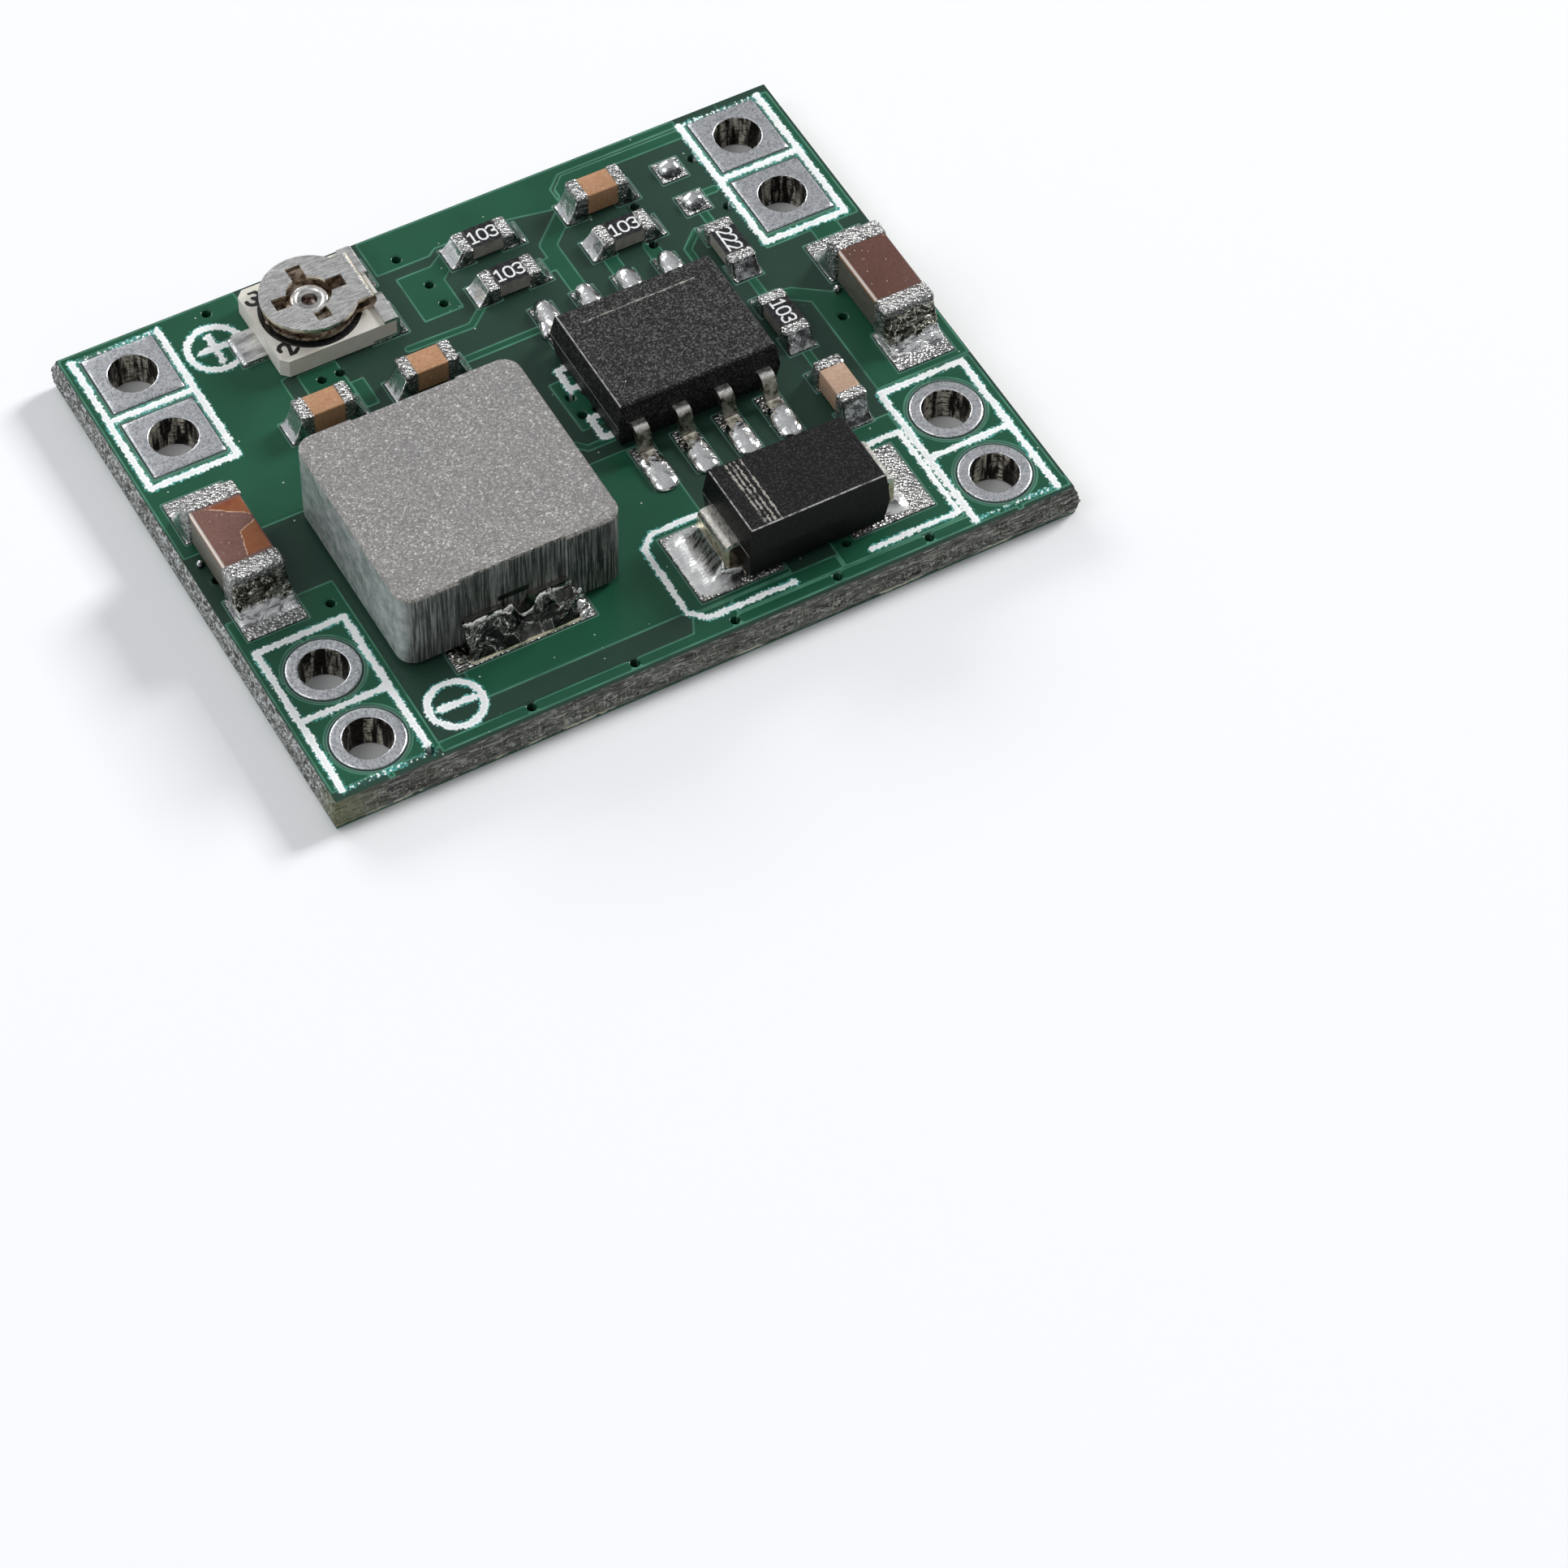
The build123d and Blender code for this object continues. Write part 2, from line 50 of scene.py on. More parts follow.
def extent(node):
    """Lowest corner, highest corner and middle of a solid of the frame, to a thousandth of a millimetre."""
    corners = np.array([corner[:] for corner in frame["nodes"][node].bound_box]) / MM
    low = corners.min(0)
    high = corners.max(0)
    return [np.round(place, 3).tolist() for place in (low, high, (low + high) / 2)]


def wire_holes():
    """Name, X and Y of the eight wire holes, from the frame's lands, and whether each land is square."""
    holes = []
    for side in ("out", "in"):
        for sign in ("plus", "minus"):
            for number in (1, 2):
                name = f"{side}_{sign}_land_{number}"
                x, y = extent(name)[2][:2]
                holes.append((name, x, y, sign == "plus"))
    return holes


def two_ended(*names):
    """X and Y of the middle of each two-ended part, and whether it lies along Y."""
    parts = {}
    for name in names:
        low, high, middle = extent(name + "_ends")
        parts[name] = (middle[0], middle[1], high[1] - low[1] > high[0] - low[0])
    return parts


SHEET_LOW, SHEET_HIGH = extent("board_sheet")[:2]
CHIP_LOW, CHIP_HIGH, CHIP = extent("chip_body")
DIODE = extent("diode_body")[2]
CORE = extent("inductor_core")[2]
TRIMMER_AXIS = [place / MM for place in frame["joints"][0]["pos_m"][:2]]

# Levels: the sheet's two faces, the tops of the lands, and the tops of the parts that carry a mark
SHEET_BOTTOM = SHEET_LOW[2]
SHEET_TOP = SHEET_HIGH[2]
SEAT = CHIP_LOW[2]
CHIP_TOP = CHIP_HIGH[2]
DIODE_TOP = extent("diode_body")[1][2]
RESISTOR_TOP = extent("enable_resistor_block")[1][2]
CERAMIC_TOP = extent("output_capacitor_block")[1][2]
TRIMMER_BASE_TOP = extent("trimmer_base")[1][2]

# Half sizes of the board at its rim, and of its faces inside the two scores
TOP_SCORE = 0.16
BOTTOM_SCORE = 0.10
RIM_HALF = (SHEET_HIGH[0], SHEET_HIGH[1])
TOP_HALF = (RIM_HALF[0] - TOP_SCORE, RIM_HALF[1] - TOP_SCORE)
BOTTOM_HALF = (RIM_HALF[0] - BOTTOM_SCORE, RIM_HALF[1] - BOTTOM_SCORE)

WIRE_HOLES = wire_holes()
HOLE_RADIUS = 0.65
LAND_HALF = 1.05
LAND_RADIUS = 1.0

# X of the chip's leads, which stand in two rows
LEAD_PLACES = [extent(f"chip_lead_{number}")[2][0] for number in (4, 3, 2, 1)]

# Two-ended parts, length and width, and how far the metal bands reach over the ceramic and stand off it
SMALL_PARTS = two_ended("output_filter_capacitor", "feedback_capacitor", "compensation_capacitor",
                        "bootstrap_capacitor", "upper_feedback_resistor", "lower_feedback_resistor",
                        "compensation_resistor", "enable_resistor", "frequency_resistor")
LARGE_PARTS = two_ended("output_capacitor", "input_capacitor")
SMALL_SIZE = (1.6, 0.8)
LARGE_SIZE = (3.2, 1.6)
SMALL_BAND = 0.36
LARGE_BAND = 0.62
CERAMIC_LEDGE = 0.03

# Middles of the two lands of the empty place
EMPTY_LANDS = ((6.959, 5.36), (6.959, 6.74))

VIA_RADIUS = 0.13
VIAS = (
    (-8.06, -8.10), (-5.15, -8.10), (-2.15, -8.10), (0.80, -8.10), (3.85, -8.10), (6.63, -8.10),
    (-8.14, -2.59), (-10.38, -0.50), (-9.60, -0.50), (-8.76, -0.50), (-5.00, 2.28), (-4.33, 2.28),
    (-4.92, 4.41), (-4.38, 4.41), (-0.79, 5.31), (-0.83, 6.10), (-1.20, 7.35), (-6.61, 8.03),
    (0.63, -0.02), (1.08, -0.02), (0.63, 0.68), (1.10, 0.68), (4.62, -7.22), (4.63, -6.20), (4.63, -5.24),
    (5.23, 4.50), (5.45, 6.00), (7.72, 4.80), (7.72, 6.84), (8.50, -0.26), (9.58, -0.26), (10.20, -0.26),
)


# Meshes

def lattice(rows, columns, close_rows=False, close_columns=False):
    """Quads between neighbours of a rows x columns grid, last joined to first where it closes."""
    r = np.arange(rows if close_rows else rows - 1)
    c = np.arange(columns if close_columns else columns - 1)
    r, c = np.meshgrid(r, c, indexing="ij")
    r1, c1 = (r + 1) % rows, (c + 1) % columns
    corners = [r * columns + c, r1 * columns + c, r1 * columns + c1, r * columns + c1]
    return np.stack(corners, -1).reshape(-1, 4)


def join(*parts):
    """Points and quads of several grids as one."""
    points, quads, start = [], [], 0
    for p, q in parts:
        points.append(p)
        quads.append(q + start)
        start += len(p)
    return np.concatenate(points), np.concatenate(quads)


def weld(points, quads):
    """Points that agree to a hundredth of a micron become one, and quads that lose a side become triangles:
    the lost side is where a corner equals the next one, and the triangle is the other three corners."""
    places, index = np.unique(np.round(np.asarray(points, float), 5), axis=0, return_inverse=True)
    quads = index.reshape(-1)[np.asarray(quads)]
    lost = quads == np.roll(quads, -1, axis=1)
    whole = quads[~lost.any(1)]
    pinched = quads[lost.sum(1) == 1]
    first = lost[lost.sum(1) == 1].argmax(1)
    turn = (first[:, None] + np.array([1, 2, 3])) % 4
    return places, whole.tolist() + np.take_along_axis(pinched, turn, 1).tolist()


def piece(name, points, quads, material, slot, body="board", stands_for=(), sharp=None, fields=None):
    """A mesh from points in millimetres and quads, riding on a body of the frame. One with fields keeps every
    point, with a value of each field on it, and the others are welded."""
    mesh = bpy.data.meshes.new(name)
    if fields:
        faces = quads.tolist()
    else:
        points, faces = weld(points, quads)
    mesh.from_pydata((np.asarray(points, float) * MM).tolist(), [], faces)
    mesh.update()
    for label, values in (fields or {}).items():
        layer = mesh.attributes.new(label, "FLOAT", "POINT")
        layer.data.foreach_set("value", np.asarray(values, np.float32))
    mesh.shade_smooth()
    if sharp:
        mesh.set_sharp_from_angle(angle=math.radians(sharp))
    mesh.materials.append(material)
    obj = bpy.data.objects.new(name, mesh)
    bpy.context.scene.collection.objects.link(obj)
    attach(obj, body)
    if stands_for:
        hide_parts(*stands_for)
    return obj


def rounded_block(x0, x1, y0, y1, z0, z1, r, k=3):
    """Box with rounded edges: a contour of four quarter circles, its corners, times a profile of two quarter
    circles, at the bottom and the top, with k steps to a quarter and two flat caps."""
    turn = np.linspace(0, np.pi / 2, k + 1)
    angle = np.concatenate([turn + q * np.pi / 2 for q in range(4)])
    cx = np.repeat([x1 - r, x0 + r, x0 + r, x1 - r], k + 1)
    cy = np.repeat([y1 - r, y1 - r, y0 + r, y0 + r], k + 1)
    rise = np.concatenate([turn - np.pi / 2, turn])
    level = np.repeat([z0 + r, z1 - r], k + 1)
    x = cx + r * np.cos(rise)[:, None] * np.cos(angle)
    y = cy + r * np.cos(rise)[:, None] * np.sin(angle)
    z = np.broadcast_to((level + r * np.sin(rise))[:, None], x.shape)
    points = np.stack([x, y, z], -1).reshape(-1, 3)
    rows, columns = x.shape
    quads = lattice(rows, columns, close_columns=True)[:, ::-1]
    corner = np.arange(4) * (k + 1)
    caps = np.array([corner[::-1], (rows - 1) * columns + corner])
    return points, np.concatenate([quads, caps])


def placed(x, y, heading, cx, cy):
    """Places out and across, turned to a heading in degrees by its cosine and sine and moved to a middle."""
    c, s = math.cos(math.radians(heading)), math.sin(math.radians(heading))
    return cx + c * x - s * y, cy + s * x + c * y


def meniscus(cx, cy, heading, half, back, climb, reach, side, base=SEAT, bend=2.2, ripple=0.0,
             side_climb=0.5, seed=1):
    """Solder round the end of a part: a U-shaped path along its side, front and other side, times a hollow
    curve that runs out by reach and side while it falls from the climb as one minus t to the power bend. It
    fades along the sides, is pushed up by a random field times the ripple, and is closed underneath."""
    corner = min(0.08, half / 3)
    turn = np.linspace(0, np.pi / 2, 8)
    along = np.linspace(-back, -corner, 9)
    front = np.linspace(-half + corner, half - corner, 15)
    px = np.concatenate([along, -corner + corner * np.sin(turn)[1:], np.zeros(13),
                         -corner + corner * np.cos(turn), along[::-1][1:]])
    py = np.concatenate([np.full(9, -half), -half + corner - corner * np.cos(turn)[1:], front[1:-1],
                         half - corner + corner * np.sin(turn), np.full(8, half)])
    angle = np.concatenate([np.full(9, -np.pi / 2), turn[1:] - np.pi / 2, np.zeros(13), turn,
                            np.full(8, np.pi / 2)])
    c, s = np.abs(np.cos(angle)), np.sin(angle)
    fade = np.concatenate([np.linspace(0, 1, 9), np.ones(28), np.linspace(1, 0, 9)[1:]]) ** 0.6
    ox = reach * c ** 0.55 * fade
    oy = side * np.sign(s) * np.abs(s) ** 0.55 * fade
    high = climb * (side_climb + (1 - side_climb) * c) * fade
    t = (1 - np.cos(np.linspace(0, np.pi, 15))) / 2
    x = px[:, None] + ox[:, None] * t
    y = py[:, None] + oy[:, None] * t
    wx, wy = placed(x, y, heading, cx, cy)
    wave = patchy(wx, wy, 0.16, seed) * ripple * np.sin(np.pi * t) * fade[:, None]
    z = base + high[:, None] * (1 - t) ** bend + 0.02 * fade[:, None] * (1 - t ** 8) + wave
    inner_x, inner_y = placed(px - 0.03 * c * fade, py - 0.03 * s * fade, heading, cx, cy)
    foot = base - 0.01
    rings_x = np.column_stack([inner_x, inner_x, wx, wx[:, -1]])
    rings_y = np.column_stack([inner_y, inner_y, wy, wy[:, -1]])
    rings_z = np.column_stack([np.full(len(px), foot), z[:, 0], z, np.full(len(px), foot)])
    rings_z[0] = rings_z[-1] = foot
    points = np.stack([rings_x, rings_y, rings_z], -1).reshape(-1, 3)
    return points, lattice(*rings_x.shape, close_columns=True)[:, ::-1]


def pebble(cx, cy, heading, length, half, start, finish, base=SEAT, blunt=4.0, ripple=0.0, seed=1):
    """A drop of solder: an ellipse swept along a run s from minus one to one, as wide as the square root of
    one minus s to the power blunt, and as high as that times a height that goes from start to finish."""
    s = np.sin(np.linspace(-np.pi / 2, np.pi / 2, 25))
    a = np.linspace(0, 2 * np.pi, 28, endpoint=False)
    wide = (1 - np.abs(s) ** blunt) ** (1 / 2)
    high = wide * (start + (finish - start) * (s + 1) / 2)
    x = np.repeat(s[:, None] * length / 2, len(a), 1)
    y = half * wide[:, None] * np.cos(a)
    rise = np.sin(a)
    z = base + np.where(rise > 0, high[:, None] * rise, 0.02 * wide[:, None] * rise)
    wx, wy = placed(x, y, heading, cx, cy)
    z = z + ripple * patchy(wx, wy, 0.14, seed) * np.clip(rise, 0, 1) * wide[:, None]
    points = np.stack([wx, wy, z], -1).reshape(-1, 3)
    return points, lattice(len(s), len(a), close_columns=True)[:, ::-1]


def skin(name, x0, x1, y0, y1, level, step, field, material, slot):
    """A marked face: a flat grid a hair above a part's top, with the marking's signed distance at each knot,
    and a short skirt, its four border rows pushed down into the part."""
    gx = np.linspace(x0, x1, int(round((x1 - x0) / step)) + 1)
    gy = np.linspace(y0, y1, int(round((y1 - y0) / step)) + 1)
    x, y = np.meshgrid(gx, gy, indexing="ij")
    border = np.zeros(x.shape, bool)
    border[[0, -1]] = True
    border[:, [0, -1]] = True
    hair, skirt = 0.003, 0.02
    z = np.where(border, level - skirt, level + hair)
    marks = np.clip(field(x, y), -1, 1)
    points = np.stack([x, y, z], -1).reshape(-1, 3)
    return piece(name, points, lattice(*x.shape), material, slot, fields={"mark": marks.ravel()}, sharp=50)


# Signed distances on a face, in millimetres, positive inside

def patchy(x, y, cell, seed):
    """Smooth random field: random values at the knots of a square net, blended between them by the cubic
    that is three squares less two cubes of the way across a cell."""
    rng = np.random.RandomState(seed)
    net = rng.uniform(-1, 1, (512, 512))
    u, v = x / cell + 200.3, y / cell + 200.7
    i, j = np.floor(u).astype(int), np.floor(v).astype(int)
    a, b = u - i, v - j
    a, b = a * a * (3 - 2 * a), b * b * (3 - 2 * b)
    i, j = i % 511, j % 511
    low = net[i, j] * (1 - a) + net[i + 1, j] * a
    high = net[i, j + 1] * (1 - a) + net[i + 1, j + 1] * a
    return low * (1 - b) + high * b


def to_segment(x, y, a, b):
    """Distance from each point to the segment from a to b: to its foot on the line, held between the ends."""
    dx, dy = b[0] - a[0], b[1] - a[1]
    t = np.clip(((x - a[0]) * dx + (y - a[1]) * dy) / max(dx * dx + dy * dy, 1e-12), 0, 1)
    return np.hypot(x - a[0] - t * dx, y - a[1] - t * dy)


def stroke(x, y, path, width):
    """Inside within half a width of a path of straight runs: half the width less the least distance."""
    near = np.full(x.shape, 9.0)
    for a, b in zip(path[:-1], path[1:]):
        near = np.minimum(near, to_segment(x, y, a, b))
    return width / 2 - near


def outline(x, y, corners):
    """Inside a closed outline: the distance to its nearest side, positive where a ray crosses it oddly."""
    near = np.full(x.shape, 99.0)
    inside = np.zeros(x.shape, bool)
    for a, b in zip(corners, corners[1:] + corners[:1]):
        near = np.minimum(near, to_segment(x, y, a, b))
        crosses = (a[1] > y) != (b[1] > y)
        at = (b[0] - a[0]) * (y - a[1]) / ((b[1] - a[1]) or 1e-9) + a[0]
        inside ^= crosses & (x < at)
    return np.where(inside, near, -near)


def box(x, y, x0, y0, x1, y1):
    """Inside a rectangle, as the outline of its four sides."""
    return outline(x, y, [(x0, y0), (x1, y0), (x1, y1), (x0, y1)])


def either(*fields):
    """Inside any of several fields: the greatest of them."""
    return np.maximum.reduce(fields)


# Strokes of the letters and numbers, in shares of their height
GLYPHS = {
    "0": [[(.31, 1), (.1, .92), (0, .7), (0, .3), (.1, .08), (.31, 0), (.52, .08), (.62, .3), (.62, .7),
           (.52, .92), (.31, 1)]],
    "1": [[(.1, .8), (.34, 1), (.34, 0)], [(.1, 0), (.58, 0)]],
    "2": [[(0, .75), (.08, .92), (.31, 1), (.54, .92), (.62, .72), (.52, .5), (0, 0), (.62, 0)]],
    "3": [[(0, .86), (.14, .97), (.31, 1), (.52, .93), (.6, .75), (.5, .57), (.28, .52), (.52, .46),
           (.62, .27), (.52, .07), (.31, 0), (.12, .04), (0, .16)]],
    "5": [[(.58, 1), (.08, 1), (.04, .56), (.3, .62), (.55, .5), (.62, .3), (.5, .08), (.28, 0), (.1, .04),
           (0, .15)]],
    "O": [[(.31, 1), (.08, .9), (0, .72), (0, .28), (.08, .1), (.31, 0), (.54, .1), (.62, .28), (.62, .72),
           (.54, .9), (.31, 1)]],
    "U": [[(0, 1), (0, .3), (.1, .08), (.31, 0), (.52, .08), (.62, .3), (.62, 1)]],
    "T": [[(0, 1), (.66, 1)], [(.33, 1), (.33, 0)]],
    "I": [[(.1, 1), (.52, 1)], [(.31, 1), (.31, 0)], [(.1, 0), (.52, 0)]],
    "N": [[(0, 0), (0, 1), (.62, 0), (.62, 1)]],
    "+": [[(.31, .82), (.31, .18)], [(0, .5), (.62, .5)]],
    "-": [[(0, .5), (.62, .5)]],
}


def word(x, y, text, left, low, height, step, width):
    """Inside the strokes of a line of plain letters or numbers: each glyph's paths, scaled by the height and
    moved on by a step, as strokes of one width."""
    field = np.full(x.shape, -9.0)
    for number, letter in enumerate(text):
        for path in GLYPHS[letter]:
            points = [(left + number * step + height * a, low + height * b) for a, b in path]
            field = np.maximum(field, stroke(x, y, points, width))
    return field


# What lies on the face with the parts

# The corners of the copper and the ink are given a hundredth too far out and brought in by this share
FACE_SCALE = 0.99


def scaled(points):
    """Corners brought in to the board's true size: each times the same share."""
    return [(FACE_SCALE * a, FACE_SCALE * b) for a, b in points]


def top_copper(x, y):
    """Copper under the lacquer: the greatest of the pours, as closed outlines, and the tracks, as strokes;
    round each wire hole the least of that and a gap, then the greatest of that and the spokes across the
    gap."""
    pours = (
        [(-10.95, 8.45), (-5.7, 8.45), (-5.7, 5.0), (-5.95, 4.95), (-5.95, 3.0), (-6.4, 0.55),
         (-10.95, 0.55)],
        [(-10.95, -1.95), (-9.0, -1.95), (-8.6, -1.95), (-7.85, -1.95), (-7.85, -8.2), (-10.95, -8.2)],
        [(-1.95, 8.45), (8.0, 8.45), (8.0, 8.2), (4.2, 8.17), (3.75, 7.75), (3.75, 7.1), (3.4, 7.05),
         (2.2, 7.3), (-0.1, 7.3), (-0.35, 7.12), (-1.95, 7.12)],
        [(4.25, 8.08), (8.0, 8.08), (8.0, 7.75), (5.7, 7.75), (5.7, 6.5), (3.5, 6.5), (3.5, 6.9),
         (3.86, 7.4), (3.86, 7.7)],
        [(-1.55, 6.75), (-0.5, 6.75), (0.1, 7.15), (0.1, 6.55), (-0.38, 6.15), (-0.38, 5.0), (-1.55, 5.0)],
        [(-5.5, 4.9), (-4.35, 4.9), (-4.35, 3.0), (-5.5, 3.0)],
        [(-4.33, 4.0), (-3.95, 4.0), (-3.95, 3.0), (-4.33, 3.0)],
        [(0.33, 1.35), (1.6, 1.35), (1.6, -0.52), (0.38, -0.52)],
        [(-0.9, -1.65), (1.6, -1.65), (1.8, -3.3), (1.8, -4.6), (2.9, -4.7), (2.9, -7.45), (0.2, -7.45),
         (-0.3, -7.35), (-2.2, -7.35), (-6.2, -7.35), (-6.2, -3.0), (-0.9, -3.0)],
        [(-7.85, -8.06), (-0.35, -8.06), (-0.1, -7.52), (1.0, -7.52), (1.0, -8.04), (10.95, -8.04),
         (10.95, -8.37), (-7.85, -8.37)],
        [(7.5, 1.42), (7.85, 1.35), (8.75, 0.7), (10.95, 0.7), (10.95, -3.0), (8.1, -3.0), (8.1, 0.62),
         (7.5, 1.05)],
        [(9.4, 3.3), (10.2, 3.3), (10.2, 1.5), (9.4, 1.5)],
        [(6.65, -3.9), (7.9, -3.9), (7.9, -7.97), (4.28, -7.97), (4.28, -4.6), (6.65, -4.6)],
        [(8.0, 2.95), (10.9, 2.95), (10.9, 8.2), (8.0, 8.2)],
        [(8.0, -3.1), (10.9, -3.1), (10.9, -8.2), (8.0, -8.2)],
        [(1.05, -7.52), (4.2, -7.52), (4.2, -7.98), (1.05, -7.98)],
    )
    tracks = (
        ([(-2.4, 4.33), (-0.5, 4.28), (0.2, 4.85)], 0.2),
        ([(-1.35, 3.25), (1.1, 3.27)], 0.22),
        ([(2.72, 3.5), (2.72, 5.92), (3.6, 6.72)], 0.46),
        ([(2.2, 5.25), (2.6, 5.25)], 0.5),
        ([(4.0, 4.0), (4.0, 4.9)], 0.4),
        ([(5.2, 4.0), (5.2, 4.55)], 0.4),
        ([(6.05, 3.4), (6.05, 3.95), (6.6, 4.45)], 0.2),
        ([(7.07, 2.6), (7.07, -1.5)], 0.24),
        ([(7.1, 4.6), (7.1, 5.6), (7.8, 5.6)], 0.24),
        ([(-0.35, -0.52), (0.22, -1.12), (1.6, -1.12)], 0.2),
    )
    field = np.full(x.shape, -9.0)
    for corners in pours:
        field = np.maximum(field, outline(x, y, scaled(corners)))
    for path, width in tracks:
        field = np.maximum(field, stroke(x, y, scaled(path), width))
    for name, cx, cy, square in WIRE_HOLES:
        if square:
            far = LAND_HALF + 0.11
            gap = -box(x, y, cx - far, cy - far, cx + far, cy + far)
            spokes = stroke(x, y, [(cx, cy - 1.4), (cx, cy + 1.4)], 0.0)
        else:
            gap = np.hypot(x - cx, y - cy) - LAND_RADIUS - 0.13
            spokes = either(stroke(x, y, [(cx - 1.35, cy), (cx + 1.35, cy)], 0.14),
                            stroke(x, y, [(cx, cy - 1.35), (cx, cy + 1.35)], 0.14))
        field = np.maximum(np.minimum(field, gap), spokes)
    return field


def top_ink(x, y):
    """White lines on the face: boxes round the wire holes, signs for plus and minus in rings, corner marks
    and the diode's outline, all strokes, with a dotted row where a sine along X cuts a line, and a ragged
    rim from two random fields."""
    ink = np.full(x.shape, -9.0)
    wide = 0.2
    for left, right in ((-10.68, -8.12), (8.07, 10.6)):
        outer = left if left < 0 else right
        inner = right if left < 0 else left
        for top, middle, low in ((8.2, 5.8, 3.15), (-3.2, -5.8, -8.25)):
            paths = [[(outer, top), (outer, low)], [(inner, top), (inner, low)],
                     [(left, middle), (right, middle)]]
            paths.append([(left, low), (right, low)] if top > 0 else [(left, top), (right, top)])
            for path in paths:
                ink = np.maximum(ink, stroke(x, y, scaled(path), wide))
            dotted = top if top > 0 else low
            row = stroke(x, y, scaled([(left, dotted), (right, dotted)]), 0.07)
            ink = np.maximum(ink, np.minimum(row, 0.03 * np.sin(x * 34.0) - 0.01))
    for cx, cy, radius in ((-7.0, 6.85, 0.78), (-6.87, -7.15, 0.74)):
        from_middle = np.hypot(x - FACE_SCALE * cx, y - FACE_SCALE * cy)
        ink = np.maximum(ink, wide / 2 - np.abs(from_middle - FACE_SCALE * radius))
    for path in ([(-7.42, 6.85), (-6.58, 6.85)], [(-7.0, 7.3), (-7.0, 6.35)],
                 [(-7.3, -7.13), (-6.35, -7.15)]):
        ink = np.maximum(ink, stroke(x, y, scaled(path), 0.21))
    marks = (
        [(1.05, 1.72), (0.77, 1.68), (0.77, 0.95), (1.05, 0.92)],
        [(1.05, -0.2), (0.77, -0.24), (0.77, -0.98), (1.08, -1.0)],
    )
    for path in marks:
        ink = np.maximum(ink, stroke(x, y, scaled(path), 0.21))
    diode = (
        [(2.0, -4.57), (0.25, -4.57), (-0.15, -4.97), (-0.18, -7.35), (0.25, -7.78), (2.8, -7.8)],
        [(6.55, -4.59), (7.83, -4.59), (7.83, -7.79), (5.15, -7.8)],
    )
    for path in diode:
        ink = np.maximum(ink, stroke(x, y, scaled(path), 0.17))
    ragged = 0.02 * patchy(x, y, 0.09, 5) + 0.015 * patchy(x, y, 0.2, 6)
    return ink + ragged


def part_lands():
    """Soldered lands of the larger parts, as X from, X to, Y from and Y to: each runs between two steps from
    the middle of its part or lead, or past the edges of its terminal by one."""
    lands = []
    across = 2.025
    for near, far in ((1.68, 3.78), (-3.78, -1.68)):
        lands.append((CORE[0] - across, CORE[0] + across, CORE[1] + near, CORE[1] + far))
    for near, far in ((-3.62, -2.10), (2.10, 3.62)):
        for x in LEAD_PLACES:
            lands.append((x - 0.34, x + 0.34, CHIP[1] + near, CHIP[1] + far))
    lands.append((CHIP[0] - 1.65, CHIP[0] + 1.65, CHIP[1] - 1.2, CHIP[1] + 1.2))
    for near, far in ((-3.445, -0.995), (1.115, 3.565)):
        lands.append((DIODE[0] + near, DIODE[0] + far, DIODE[1] - 1.2, DIODE[1] + 1.2))
    for name in ("trimmer_end_terminal_near", "trimmer_end_terminal_far"):
        low, high = extent(name)[:2]
        lands.append((low[0], high[0] + 0.24, low[1], high[1]))
    low, high = extent("trimmer_wiper_terminal")[:2]
    lands.append((low[0] - 0.12, low[0] + 1.32, low[1], high[1]))
    for cx, cy, upright in LARGE_PARTS.values():
        for near, far in ((1.1, 2.6), (-2.6, -1.1)):
            lands.append((cx - 0.86, cx + 0.86, cy + near, cy + far))
    for cx, cy in EMPTY_LANDS:
        lands.append((cx - 0.39, cx + 0.39, cy - 0.39, cy + 0.39))
    return lands


def small_lands():
    """Lands of the small two-ended parts, given as those of the larger ones."""
    lands = []
    half = 0.41
    for cx, cy, upright in SMALL_PARTS.values():
        for near, far in ((-1.14, -0.44), (0.44, 1.14)):
            if upright:
                lands.append((cx - half, cx + half, cy + near, cy + far))
            else:
                lands.append((cx + near, cx + far, cy - half, cy + half))
    return lands


LANDS = part_lands() + small_lands()


def top_open(x, y):
    """Where the lacquer leaves copper or laminate bare: rectangles and circles a clearance wider than the
    lands."""
    field = np.full(x.shape, -9.0)
    for name, cx, cy, square in WIRE_HOLES:
        if square:
            far = LAND_HALF + 0.05
            field = np.maximum(field, box(x, y, cx - far, cy - far, cx + far, cy + far))
        else:
            field = np.maximum(field, LAND_RADIUS + 0.06 - np.hypot(x - cx, y - cy))
    gap = 0.04
    for x0, x1, y0, y1 in LANDS:
        field = np.maximum(field, box(x, y, x0 - gap, y0 - gap, x1 + gap, y1 + gap))
    return field


def bottom_copper(x, y):
    """Copper under the lower lacquer: one pour, less a gap on both sides of two tracks and a square gap round
    each plus land, where the gap is a width round one distance from the middle line or the middle."""
    field = np.full(x.shape, 1.0)
    paths = (
        [(-7.0, 7.75), (3.7, 7.75), (4.6, 7.4), (6.6, 5.9)],
        [(-1.5, 7.1), (4.0, 7.05), (4.6, 6.75), (6.9, 5.0)],
    )
    for path in paths:
        from_line = -stroke(x, y, path, 0.0)
        field = np.minimum(field, np.abs(from_line - 0.21) - 0.06)
    for name, cx, cy, square in WIRE_HOLES:
        if square:
            from_middle = np.maximum(np.abs(x - cx), np.abs(y - cy))
            field = np.minimum(field, np.abs(from_middle - LAND_HALF - 0.13) - 0.07)
    return field


def closed_all_over(x, y):
    """No place is opened: the same value, a millimetre outside, everywhere."""
    return np.full(x.shape, -1.0)


